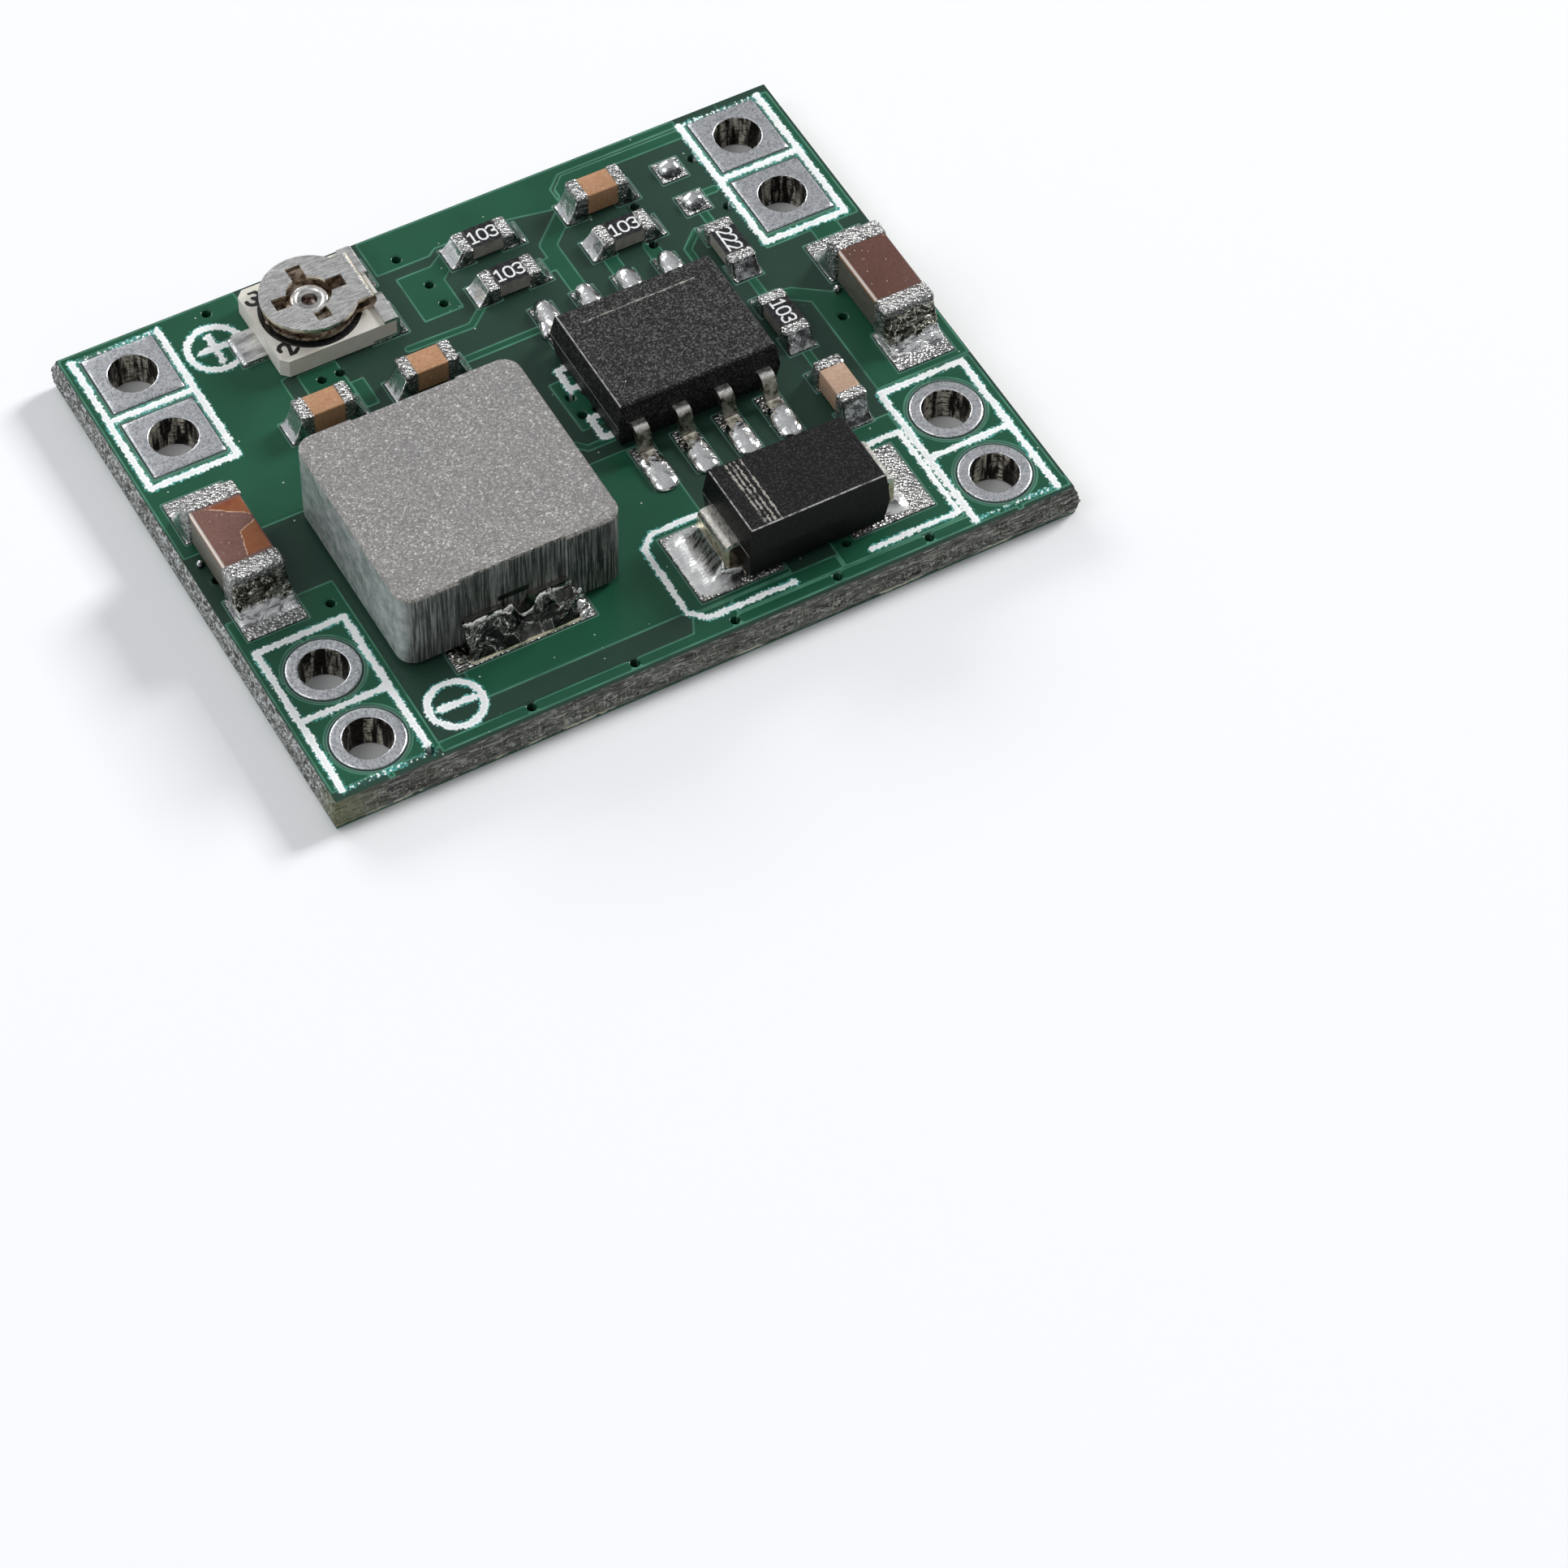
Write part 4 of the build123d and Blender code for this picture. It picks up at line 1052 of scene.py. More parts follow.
def laminate_edge_finish():
    """Torn glass-fibre edge: dark grey-olive with pale broken fibres in layers along the board, and whiter glass
    on the faces toward -X as painted light.
    """
    f = Finish("laminate_edge", Roughness=0.7)
    layers = f.noise(2.4, 6, 0.75, f.stretched(0.3, 0.3, 7.0))
    grain = f.noise(6.5, 4, 0.8, f.stretched(0.35, 0.35, 3.5))
    glass = f.noise(7.0, 4, 0.85, f.stretched(1, 1, 1.3))
    z = f.channel(f.stretched(), "Z")
    left = f.facing("X", -0.3, -0.8)
    color = f.blend(f.span(layers, 0.40, 0.60), (0.016, 0.019, 0.015), (0.17, 0.175, 0.15))
    color = f.blend(f.span(grain, 0.53, 0.60), color, (0.50, 0.50, 0.46))
    # Whiter glass only on faces toward -X: painted light from that side.
    color = f.blend(f.math("MULTIPLY", left, f.span(glass, 0.49, 0.56)), color, (0.82, 0.85, 0.86))
    foot = f.math("MULTIPLY", f.span(z, 0.24, 0.16), f.span(f.noise(0.9, 3, 0.7), 0.49, 0.54))
    color = f.blend(foot, color, (0.80, 0.76, 0.62))
    right = f.math("MULTIPLY", f.facing("X", 0.2, 0.6), f.span(grain, 0.42, 0.50))
    color = f.blend(right, color, (0.78, 0.75, 0.56))
    at = f.stretched()
    corner = f.math("MULTIPLY", f.span(f.channel(at, "X"), -9.4, -10.8),
                    f.span(f.channel(at, "Y"), -7.4, -8.4))
    resin = f.blend(f.span(layers, 0.40, 0.60), (0.12, 0.14, 0.055), (0.38, 0.40, 0.22))
    color = f.blend(f.math("MULTIPLY", corner, 0.75), color, resin)
    f.bump(grain, 0.05, 1.0)
    f.bump(f.math("MULTIPLY", glass, left), 0.06, 1.0)
    f.bump(layers, 0.06, 0.9)
    return f.use(Base_Color=color)


def tin_finish(name, tone, low, high, wavy, grain=0.0, depth=0.05, front=1.0):
    """Tin or solder: bright metal, slowly wavy, with fine scratches and, where wanted, grains; on the faces
    toward -Y darker by a share, in streaks, as painted shade."""
    f = Finish(name, Metallic=1.0)
    slow = f.noise(wavy, 2, 0.5)
    fine = f.noise(22.0, 3, 0.6)
    color = f.blend(f.span(fine, 0.35, 0.7), tuple(0.72 * c for c in tone), tone)
    f.bump(slow, depth, 0.6)
    if grain:
        speck = f.cells(12.0)
        color = f.blend(f.span(speck["Distance"], 0.15, 0.6), color, tuple(0.34 * c for c in tone))
        f.bump(speck["Distance"], 0.05 * grain, 1.0)
    # Faces toward -Y darkened by a share, in streaks: painted shade.
    if front < 1:
        streaks = f.span(f.noise(5.0, 3, 0.7), 0.45, 0.62, 1.0, 0.35)
        painted_front_shade = f.math("MULTIPLY", f.facing("Y", -0.25, -0.6), streaks)
        color = f.blend(painted_front_shade, color, tuple(front * c for c in tone))
    f.bump(fine, 0.005, 0.7)
    return f.use(Base_Color=color, Roughness=f.span(slow, 0.3, 0.7, low, high))


def crumpled_finish():
    """Dark crumpled solder: near-black and grey patches at random, and as painted highlights bright specks,
    thin bright ripple lines, a silver upper edge and a pale gold line where it runs out on the land."""
    f = Finish("crumpled_solder", Metallic=1.0)
    patch = f.noise(3.0, 4, 0.7)
    fine = f.noise(10.0, 4, 0.75)
    swirl = f.noise(2.2, 3, 0.6, distortion=1.2)
    color = f.blend(f.span(patch, 0.45, 0.66), (0.026, 0.03, 0.026), (0.22, 0.225, 0.20))
    # Bright contour lines, bright specks, the upper edge and the foot line below: painted highlights.
    ripple_glint = f.span(f.math("ABSOLUTE", f.math("SUBTRACT", swirl, 0.47)), 0.022, 0.006)
    color = f.blend(f.math("MULTIPLY", ripple_glint, f.span(fine, 0.46, 0.56)), color, (0.72, 0.71, 0.65))
    color = f.blend(f.span(fine, 0.62, 0.68), color, (0.80, 0.74, 0.58))
    color = f.blend(f.math("MULTIPLY", f.field("edge"), f.span(fine, 0.40, 0.52, 0.2, 1.0)), color,
                    (0.86, 0.85, 0.81))
    z = f.channel(f.stretched(), "Z")
    line = f.math("MULTIPLY", f.span(z, SEAT + 0.045, SEAT + 0.025),
                  f.span(f.noise(1.6, 2), 0.42, 0.52, 0.15, 1.0))
    color = f.blend(line, color, (0.98, 0.93, 0.68))
    f.bump(swirl, 0.12, 0.9)
    f.bump(fine, 0.012, 0.8)
    return f.use(Base_Color=color, Roughness=f.span(patch, 0.3, 0.7, 0.12, 0.24))


def end_finish():
    """Solder up a large capacitor's end: near-black ripples with gold and silver swirls as painted glints, and
    below a wavy border a bright silver run out to the land, a painted highlight."""
    f = Finish("end_solder")
    swirl = f.noise(2.4, 3, 0.6, distortion=1.4)
    ripple = f.noise(4.5, 3, 0.7, f.stretched(0.6, 1.0, 1.7), distortion=0.8)
    fine = f.noise(10.0, 4, 0.75)
    z = f.channel(f.stretched(), "Z")
    low = f.span(f.math("ADD", z, f.span(swirl, 0.3, 0.7, -0.13, 0.13)), SEAT + 0.40, SEAT + 0.28)
    color = f.blend(f.span(ripple, 0.46, 0.62), (0.022, 0.024, 0.018), (0.26, 0.26, 0.22))
    metal = f.blend(f.span(fine, 0.42, 0.60), (0.88, 0.72, 0.42), (0.97, 0.96, 0.92))
    # Gold and silver contour lines: painted glints.
    ripple_glint = f.span(f.math("ABSOLUTE", f.math("SUBTRACT", swirl, 0.52)), 0.05, 0.02)
    color = f.blend(f.math("MULTIPLY", ripple_glint, f.span(fine, 0.46, 0.54)), color, metal)
    # Bright silver below the wavy border: painted highlight.
    silver = f.blend(f.span(ripple, 0.40, 0.54), (0.30, 0.30, 0.32), (0.97, 0.97, 0.97))
    color = f.blend(low, color, silver)
    f.bump(ripple, 0.10, 1.0)
    f.bump(fine, 0.015, 0.8)
    return f.use(Base_Color=color, Metallic=f.span(low, 0, 1, 1.0, 0.65),
                 Roughness=f.span(fine, 0.3, 0.7, 0.12, 0.26))


def strip_finish():
    """Glossy solder drawn over a strip in slow folds, near-black as a painted dark reflection: a few grey veins, a
    crumpled silver upper edge and a pale gold line where it meets the land, all painted highlights."""
    f = Finish("strip_solder")
    fold = f.noise(1.7, 2, 0.55, distortion=0.9)
    fine = f.noise(9.0, 3, 0.7)
    crumple = f.noise(5.0, 3, 0.7)
    edge = f.math("MULTIPLY", f.field("edge"), f.span(crumple, 0.42, 0.52, 0.1, 1.0))
    # Near-black ground: painted dark reflection; veins, upper edge and foot line below: painted highlights.
    color = f.blend(f.span(fold, 0.42, 0.62), (0.030, 0.034, 0.030), (0.15, 0.155, 0.14))
    ripple_glint = f.span(f.math("ABSOLUTE", f.math("SUBTRACT", fold, 0.5)), 0.014, 0.004)
    color = f.blend(f.math("MULTIPLY", ripple_glint, f.span(fine, 0.42, 0.56)), color, (0.72, 0.71, 0.66))
    color = f.blend(edge, color, (0.95, 0.94, 0.90))
    z = f.channel(f.stretched(), "Z")
    line = f.math("MULTIPLY", f.span(z, SEAT + 0.075, SEAT + 0.050),
                  f.span(f.noise(1.2, 2), 0.36, 0.48, 0.35, 1.0))
    color = f.blend(line, color, (0.99, 0.93, 0.66))
    bright = f.math("MAXIMUM", edge, line)
    f.bump(fold, 0.10, 0.8)
    f.bump(crumple, 0.03, 0.5)
    f.bump(fine, 0.004, 0.5)
    return f.use(Base_Color=color, Metallic=f.span(bright, 0, 1, 1.0, 0.45),
                 Roughness=f.span(fold, 0.3, 0.7, 0.10, 0.2))


def wire_finish():
    """Copper wire, near-black as painted shade where its two ends come out of the core: beyond a distance along Y
    from the core's middle."""
    f = Finish("copper_wire", Metallic=1.0)
    fine = f.noise(22.0, 3, 0.6)
    away = f.math("ABSOLUTE", f.math("SUBTRACT", f.channel(f.stretched(), "Y"), CORE[1]))
    copper = f.blend(f.span(fine, 0.35, 0.7), (0.48, 0.19, 0.10), (0.72, 0.32, 0.18))
    # Near-black beyond the core's ends: painted shade in the recess.
    color = f.blend(f.span(away, 2.62, 2.74), copper, (0.045, 0.045, 0.040))
    f.bump(fine, 0.005, 0.7)
    return f.use(Base_Color=color, Roughness=f.span(fine, 0.3, 0.7, 0.24, 0.4))


def pool_finish():
    """Bright pool of solder with thin dark streaks near its top, running down from the diode's plate."""
    f = Finish("bright_pool", Metallic=1.0)
    slow = f.noise(3.0, 2)
    streak = f.noise(11.0, 3, 0.7, f.stretched(0.22, 1.0, 0.3))
    z = f.channel(f.stretched(), "Z")
    high = f.span(z, SEAT + 0.07, SEAT + 0.22)
    color = f.blend(f.span(streak, 0.35, 0.6), (0.80, 0.80, 0.80), (0.98, 0.98, 0.97))
    color = f.blend(f.math("MULTIPLY", high, f.span(streak, 0.49, 0.57)), color, (0.13, 0.12, 0.10))
    f.bump(slow, 0.03, 0.5)
    f.bump(streak, 0.02, 0.7)
    return f.use(Base_Color=color, Roughness=f.span(slow, 0.3, 0.7, 0.2, 0.34))


def plating_finish():
    """Plated hole: satin brushed land, and a barrel painted near-black as shade, with golden streaks down its wall
    as painted highlights.
    """
    f = Finish("plated_hole", Metallic=1.0)
    wall = f.field("wall")
    speck = f.noise(16.0, 3, 0.7)
    slow = f.noise(2.2, 2)
    land = f.blend(f.span(speck, 0.36, 0.60), (0.34, 0.35, 0.39), (0.88, 0.89, 0.91))
    streak = f.noise(4.5, 3, 0.65, f.stretched(1, 1, 0.14))
    ripple = f.noise(9.0, 3, 0.7, f.stretched(0.5, 0.5, 1.4))
    # Near-black barrel: painted shade inside the hole; golden streaks: painted highlights.
    barrel = f.blend(f.span(streak, 0.46, 0.60), (0.008, 0.006, 0.004), (0.95, 0.90, 0.78))
    barrel = f.blend(f.span(ripple, 0.50, 0.62), barrel, (0.03, 0.022, 0.014))
    color = f.blend(wall, land, barrel)
    f.bump(speck, 0.010, 0.7)
    f.bump(f.math("MULTIPLY", f.math("ADD", streak, ripple), wall), 0.09, 1.0)
    f.bump(slow, 0.03, 0.4)
    return f.use(Base_Color=color, Roughness=f.span(speck, 0.3, 0.7, 0.38, 0.24))


def pressed_powder_finish():
    """Pressed iron powder: bright grains on top, crumbs at the upper rim, and drawn streaks down dark polished
    sides, paler toward -X, with a pale painted sheen on the side that looks that way, for light from that side."""
    f = Finish("pressed_powder", Specular_IOR_Level=0.5)
    at = f.stretched()
    grains = f.cells(24.0, at)
    blur = f.noise(9.0, 3, 0.7)
    big = f.noise(0.9, 3, 0.5)
    streaks = f.noise(16.0, 4, 0.75, f.stretched(1.0, 1.0, 0.035))
    top = f.facing("Z", 0.5, 0.9)
    value = f.channel(grains["Color"], "X")
    base = f.blend(f.span(value, 0.1, 1.0), (0.215, 0.208, 0.20), (0.43, 0.417, 0.405))
    base = f.blend(f.math("MULTIPLY", f.span(value, 0.80, 0.92), f.span(blur, 0.45, 0.6)), base,
                   (0.80, 0.79, 0.77))
    base = f.blend(f.span(big, 0.35, 0.7, 0.0, 0.25), base, (0.22, 0.218, 0.23))
    side = f.blend(f.span(streaks, 0.46, 0.60), (0.024, 0.026, 0.024), (0.31, 0.31, 0.30))
    # Sides paler toward -X.
    paler_toward_left = f.blend(f.span(streaks, 0.44, 0.62), (0.075, 0.08, 0.075), (0.44, 0.44, 0.43))
    side = f.blend(f.span(f.channel(at, "X"), -2.0, -6.5, 0.0, 0.55), side, paler_toward_left)
    side = f.blend(f.span(big, 0.45, 0.65, 0.0, 0.4), side, (0.035, 0.042, 0.038))
    # Pale sheen on faces toward -X: painted light from that side.
    left = f.facing("X", -0.4, -0.9)
    painted_left_sheen = f.blend(f.span(f.noise(2.6, 3, 0.65), 0.36, 0.64), (0.29, 0.355, 0.335), (0.62, 0.66, 0.66))
    side = f.blend(f.math("MULTIPLY", left, 0.9), side, painted_left_sheen)
    color = f.blend(top, side, base)
    z = f.channel(at, "Z")
    rim = f.math("MULTIPLY", f.span(z, 3.64, 3.74), f.math("SUBTRACT", 1.0, top))
    crumbs = f.blend(f.span(blur, 0.42, 0.58), (0.10, 0.065, 0.045), (0.62, 0.58, 0.53))
    color = f.blend(f.math("MULTIPLY", rim, f.span(blur, 0.35, 0.5)), color, crumbs)
    f.bump(f.math("MULTIPLY", value, top), 0.035, 0.8)
    f.bump(f.math("MULTIPLY", streaks, f.math("SUBTRACT", 1.0, top)), 0.03, 0.6)
    metal = f.math("MULTIPLY", f.span(top, 0, 1, 0.45, 0.25), f.span(left, 0, 1, 1.0, 0.35))
    rough = f.math("SUBTRACT", f.span(top, 0, 1, 0.30, 0.5), f.math("MULTIPLY", left, 0.14))
    return f.use(Base_Color=color, Metallic=metal, Roughness=rough)


def moulding_finish(name, dark, pale, top, parting, lit_front, sheen, least_edge_highlight):
    """Black moulding compound with an eroded grain, sides darker than the top as painted shade, pale painted
    highlight lines, patchy, along the upper edges of the faces toward -X and along their parting line, and a pale
    mark. The top and the parting line are levels, and a lit front takes the highlight line on its near edge too."""
    f = Finish(name, Specular_IOR_Level=sheen)
    at = f.stretched()
    grain = f.noise(17.0, 3, 0.75)
    wear = f.noise(6.0, 3, 0.7)
    up = f.facing("Z", 0.6, 0.9)
    # Sides 0.35 times as dark as the top, with fainter pale specks: painted shade.
    speckle = f.math("MULTIPLY", f.span(grain, 0.50, 0.68),
                     f.span(up, 0, 1, 0.12 if lit_front else 0.50, 1.0))
    color = f.blend(speckle, f.blend(up, tuple(0.35 * c for c in dark), dark), pale)
    z = f.channel(at, "Z")
    edge = f.math("SUBTRACT", 1.0,
                  f.span(f.math("ABSOLUTE", f.math("SUBTRACT", z, top - 0.015)), 0.008, 0.022))
    seam = f.math("SUBTRACT", 1.0, f.span(f.math("ABSOLUTE", f.math("SUBTRACT", z, parting)), 0.006, 0.018))
    left = f.facing("X", -0.3, -0.7)
    front = f.facing("Y", -0.3, -0.7)
    sides = f.math("MAXIMUM", left, front) if lit_front else left
    # Pale lines at the top edge and the parting line, on faces toward -X, and toward -Y for a lit front: painted
    # highlights.
    line = f.math("MULTIPLY",
                  f.math("MAXIMUM", f.math("MULTIPLY", edge, sides), f.math("MULTIPLY", seam, left)),
                  f.span(wear, 0.40, 0.55, least_edge_highlight, 1.0))
    color = f.blend(line, color, (0.62, 0.62, 0.60))
    mark = f.math("MULTIPLY", f.span(f.field("mark"), 0.004, 0.02), f.span(wear, 0.36, 0.52, 0.15, 0.9))
    color = f.blend(mark, color, (0.42, 0.40, 0.36))
    f.bump(grain, 0.016, 0.9)
    return f.use(Base_Color=color, Roughness=f.span(grain, 0.3, 0.7, 0.6, 0.4))


def capacitor_finish(name, a, b, chip=(0.31, 0.115, 0.035), lit_edge=0.0):
    """Barium-titanate ceramic: fine speckle, orange flakes with pale borders where it is marked, and, below
    a lit edge given as a level, painted light on the side facing -X: greenish grey, with an orange and a white
    highlight line along its top."""
    f = Finish(name, Roughness=0.4)
    speckle = f.noise(12.0, 4, 0.7)
    slow = f.noise(1.5, 2)
    color = f.blend(f.span(speckle, 0.35, 0.68), a, b)
    color = f.blend(f.span(slow, 0.35, 0.7, 0.0, 0.35), color, tuple(0.7 * c for c in a))
    mark = f.field("mark")
    flake = f.blend(f.span(slow, 0.3, 0.7), chip, (0.20, 0.035, 0.008))
    color = f.blend(f.span(mark, 0.003, 0.02), color, flake)
    pale = f.math("MULTIPLY", f.span(mark, 0.002, 0.012), f.math("SUBTRACT", 1.0, f.span(mark, 0.02, 0.045)))
    color = f.blend(f.math("MULTIPLY", pale, f.span(speckle, 0.35, 0.5)), color, (0.75, 0.52, 0.36))
    dust = f.math("MULTIPLY", f.math("LESS_THAN", f.cells(7.0)["Distance"], 0.10), f.span(slow, 0.45, 0.55))
    color = f.blend(dust, color, (0.85, 0.75, 0.66))
    if lit_edge:
        # Side facing -X: greenish grey, with an orange and a white line under its top edge: painted light.
        left = f.facing("X", -0.15, -0.5)
        z = f.channel(f.stretched(), "Z")
        side = f.blend(f.span(speckle, 0.35, 0.68), (0.085, 0.098, 0.080), (0.155, 0.170, 0.140))
        color = f.blend(f.math("MULTIPLY", left, 0.8), color, side)
        color = f.blend(f.math("MULTIPLY", left, f.span(z, lit_edge - 0.16, lit_edge - 0.12)), color,
                        (0.55, 0.22, 0.08))
        color = f.blend(f.math("MULTIPLY", left, f.span(z, lit_edge - 0.10, lit_edge - 0.06)), color,
                        (0.93, 0.86, 0.80))
    f.bump(speckle, 0.006, 0.6)
    return f.use(Base_Color=color)


def ceramic_finish():
    """Creamy glazed ceramic, faintly stained, with black printed marks."""
    f = Finish("white_ceramic", Roughness=0.4)
    slow = f.noise(1.1, 3)
    fine = f.noise(14.0, 3)
    color = f.blend(f.span(slow, 0.3, 0.75), (0.86, 0.85, 0.81), (0.70, 0.66, 0.56))
    color = f.blend(f.span(fine, 0.6, 0.75, 0.0, 0.3), color, (0.35, 0.32, 0.27))
    color = f.blend(f.span(f.field("mark"), 0.004, 0.016), color, (0.012, 0.012, 0.012))
    f.bump(fine, 0.005, 0.5)
    return f.use(Base_Color=color)


def resistor_finish():
    """Grey alumina with a black glazed top and white numbers."""
    f = Finish("resistor_body", Specular_IOR_Level=0.3)
    fine = f.noise(12.0, 3)
    grain = f.noise(4.0, 3)
    top = f.facing("Z", 0.5, 0.9)
    side = f.blend(f.span(grain, 0.3, 0.7), (0.25, 0.235, 0.205), (0.38, 0.365, 0.33))
    glaze = f.blend(f.span(fine, 0.45, 0.75), (0.012, 0.012, 0.014), (0.045, 0.045, 0.05))
    color = f.blend(top, side, glaze)
    color = f.blend(f.span(f.field("mark"), 0.003, 0.014), color, (0.84, 0.85, 0.85))
    f.bump(fine, 0.005, 0.4)
    return f.use(Base_Color=color, Roughness=f.span(fine, 0.3, 0.7, 0.25, 0.42))


def plain_dark_finish(name, tone, roughness):
    """One dark tone, in fine patches paler by three fifths and a little rougher."""
    f = Finish(name)
    fine = f.noise(11.0, 3)
    color = f.blend(f.span(fine, 0.3, 0.7), tone, tuple(1.6 * c + 0.004 for c in tone))
    f.bump(fine, 0.004, 0.4)
    return f.use(Base_Color=color, Roughness=f.span(fine, 0.3, 0.7, roughness, roughness + 0.12))


def brushed_finish(name, pale, warm, across, top, mottle, rim=False, bands=False):
    """Stamped metal brushed one way, warm and dark below its top level, more or less mottled there; where
    wanted, with a bright line just under its top edges, or with dark bands along the brushing. How it is
    brushed is given as how far its field is stretched along each axis."""
    f = Finish(name, Metallic=1.0)
    lines = f.noise(14.0, 3, 0.7, f.stretched(*across))
    patch = f.noise(5.0, 3, 0.6)
    below = f.span(f.channel(f.stretched(), "Z"), top, top - 0.05)
    color = f.blend(f.span(lines, 0.38, 0.62), tuple((0.52 if rim else 0.66) * c for c in pale), pale)
    tarnish = f.blend(f.span(patch, 0.42, 0.6), tuple((1 - mottle) * c for c in warm), warm)
    color = f.blend(f.math("MULTIPLY", below, f.span(patch, 0.36, 0.62, 1.0, 1.0 - 0.7 * mottle)), color,
                    tarnish)
    if rim:
        z = f.channel(f.stretched(), "Z")
        glint = f.math("MULTIPLY",
                       f.span(f.math("ABSOLUTE", f.math("SUBTRACT", z, top - 0.03)), 0.034, 0.018),
                       f.span(patch, 0.34, 0.46, 0.4, 1.0))
        color = f.blend(glint, color, (1.0, 0.90, 0.70))
    if bands:
        color = f.blend(f.span(f.noise(5.0, 2, 0.6, f.stretched(*across)), 0.50, 0.60), color,
                        tuple(0.42 * c for c in pale))
    f.bump(lines, 0.012, 0.7)
    f.bump(patch, 0.004 if rim else 0.03, 0.5)
    return f.use(Base_Color=color, Roughness=f.span(patch, 0.3, 0.7, 0.22, 0.36))


LACQUER_TOP = lacquer_finish("lacquer_top", (0.018, 0.100, 0.055), (0.026, 0.063, 0.045))
LACQUER_BOTTOM = lacquer_finish("lacquer_bottom", (0.012, 0.125, 0.062), (0.014, 0.055, 0.038))
LAMINATE_EDGE = laminate_edge_finish()
PLATING = plating_finish()
TIN_LAND = tin_finish("tinned_land", (0.88, 0.87, 0.86), 0.25, 0.42, 3.0, grain=1.0, depth=0.06)
SOLDER = tin_finish("bright_solder", (0.93, 0.94, 0.95), 0.12, 0.24, 2.6, depth=0.06, front=0.12)
DARK_SOLDER = crumpled_finish()
END_SOLDER = end_finish()
STRIP_SOLDER = strip_finish()
POOL_SOLDER = pool_finish()
DROP_SOLDER = tin_finish("drop_solder", (0.97, 0.97, 0.97), 0.10, 0.22, 3.5, depth=0.08)
PLATED_END = tin_finish("plated_end", (0.92, 0.92, 0.90), 0.25, 0.42, 3.2, grain=1.2, front=0.25)
LEAD_METAL = brushed_finish("lead_metal", (0.95, 0.93, 0.88), (0.84, 0.76, 0.60), (1, 1, 0.3), 1.95, 0.75)
STRIP_METAL = brushed_finish("strip_metal", (0.42, 0.40, 0.36), (0.16, 0.15, 0.12), (1, 1, 0.3), 2.12, 0.6)
WIPER_METAL = brushed_finish("wiper_metal", (0.94, 0.93, 0.92), (0.60, 0.42, 0.26), (0.12, 0.5, 0.3), 0.9,
                             0.5, bands=True)
ROTOR_METAL = brushed_finish("rotor_metal", (0.90, 0.89, 0.88), (0.40, 0.25, 0.12), (0.30, 2.2, 1), 2.30,
                             0.7, rim=True)
PLATE_METAL = brushed_finish("plate_metal", (0.98, 0.95, 0.87), (0.96, 0.84, 0.58), (1, 0.4, 0.3), 2.1, 0.3)
EYELET_METAL = brushed_finish("eyelet_metal", (0.99, 0.98, 0.96), (0.17, 0.055, 0.022), (1, 1, 1), 2.03, 0.6)
POWDER = pressed_powder_finish()
CHIP_MOULDING = moulding_finish("chip_moulding", (0.012, 0.0118, 0.012), (0.20, 0.198, 0.198),
                                CHIP_TOP, 1.88, False, sheen=0.18, least_edge_highlight=0.5)
DIODE_MOULDING = moulding_finish("diode_moulding", (0.007, 0.0068, 0.0073), (0.055, 0.054, 0.057),
                                 DIODE_TOP, 2.20, True, sheen=0.13, least_edge_highlight=0.25)
TAN_CAPACITOR = capacitor_finish("tan_capacitor", (0.42, 0.21, 0.10), (0.58, 0.33, 0.19))
PALE_CAPACITOR = capacitor_finish("pale_capacitor", (0.45, 0.285, 0.195), (0.60, 0.42, 0.31))
MAUVE_CAPACITOR = capacitor_finish("mauve_capacitor", (0.160, 0.072, 0.057), (0.235, 0.113, 0.092),
                                   lit_edge=CERAMIC_TOP)
BROWN_CAPACITOR = capacitor_finish("brown_capacitor", (0.098, 0.038, 0.026), (0.145, 0.060, 0.042),
                                   lit_edge=CERAMIC_TOP)
LARGE_CERAMIC = {"output_capacitor": MAUVE_CAPACITOR, "input_capacitor": BROWN_CAPACITOR}
SMALL_CERAMIC = {"output_filter_capacitor": TAN_CAPACITOR, "feedback_capacitor": TAN_CAPACITOR,
                 "compensation_capacitor": TAN_CAPACITOR, "bootstrap_capacitor": PALE_CAPACITOR}
RESISTOR_BODY = resistor_finish()
TRACK_BLACK = plain_dark_finish("track_black", (0.01, 0.01, 0.01), 0.12)
CERAMIC = ceramic_finish()
COPPER_WIRE = wire_finish()

FINISH_OF = {
    "board": LACQUER_TOP, "tinned_copper": TIN_LAND, "solder": SOLDER, "iron_powder": POWDER,
    "copper_wire": COPPER_WIRE, "black_moulding": CHIP_MOULDING, "silicon": TRACK_BLACK,
    "trimmer_ceramic": CERAMIC, "resistive_track": TRACK_BLACK, "rotor_metal": ROTOR_METAL,
    "plated_ends": PLATED_END, "resistor_ceramic": RESISTOR_BODY, "capacitor_ceramic": TAN_CAPACITOR,
    "lead_metal": LEAD_METAL,
}
OWN_FINISH = {
    "output_capacitor_block": MAUVE_CAPACITOR, "input_capacitor_block": BROWN_CAPACITOR,
    "diode_body": DIODE_MOULDING, "diode_cathode_lead": PLATE_METAL, "diode_anode_lead": PLATE_METAL,
    "inductor_terminal_near": STRIP_METAL, "inductor_terminal_far": STRIP_METAL,
    "trimmer_wiper_terminal": WIPER_METAL, "trimmer_end_terminal_near": WIPER_METAL,
    "trimmer_end_terminal_far": WIPER_METAL,
}


def dress_nodes():
    """Each solid takes the finish of its material slot, and a few their own."""
    slots = {p["node"]: p["material_slot"] for p in frame["record"]["subparts"]}
    for name, obj in frame["nodes"].items():
        obj.data.materials.clear()
        obj.data.materials.append(OWN_FINISH.get(name, FINISH_OF[slots[name]]))


# Marked faces

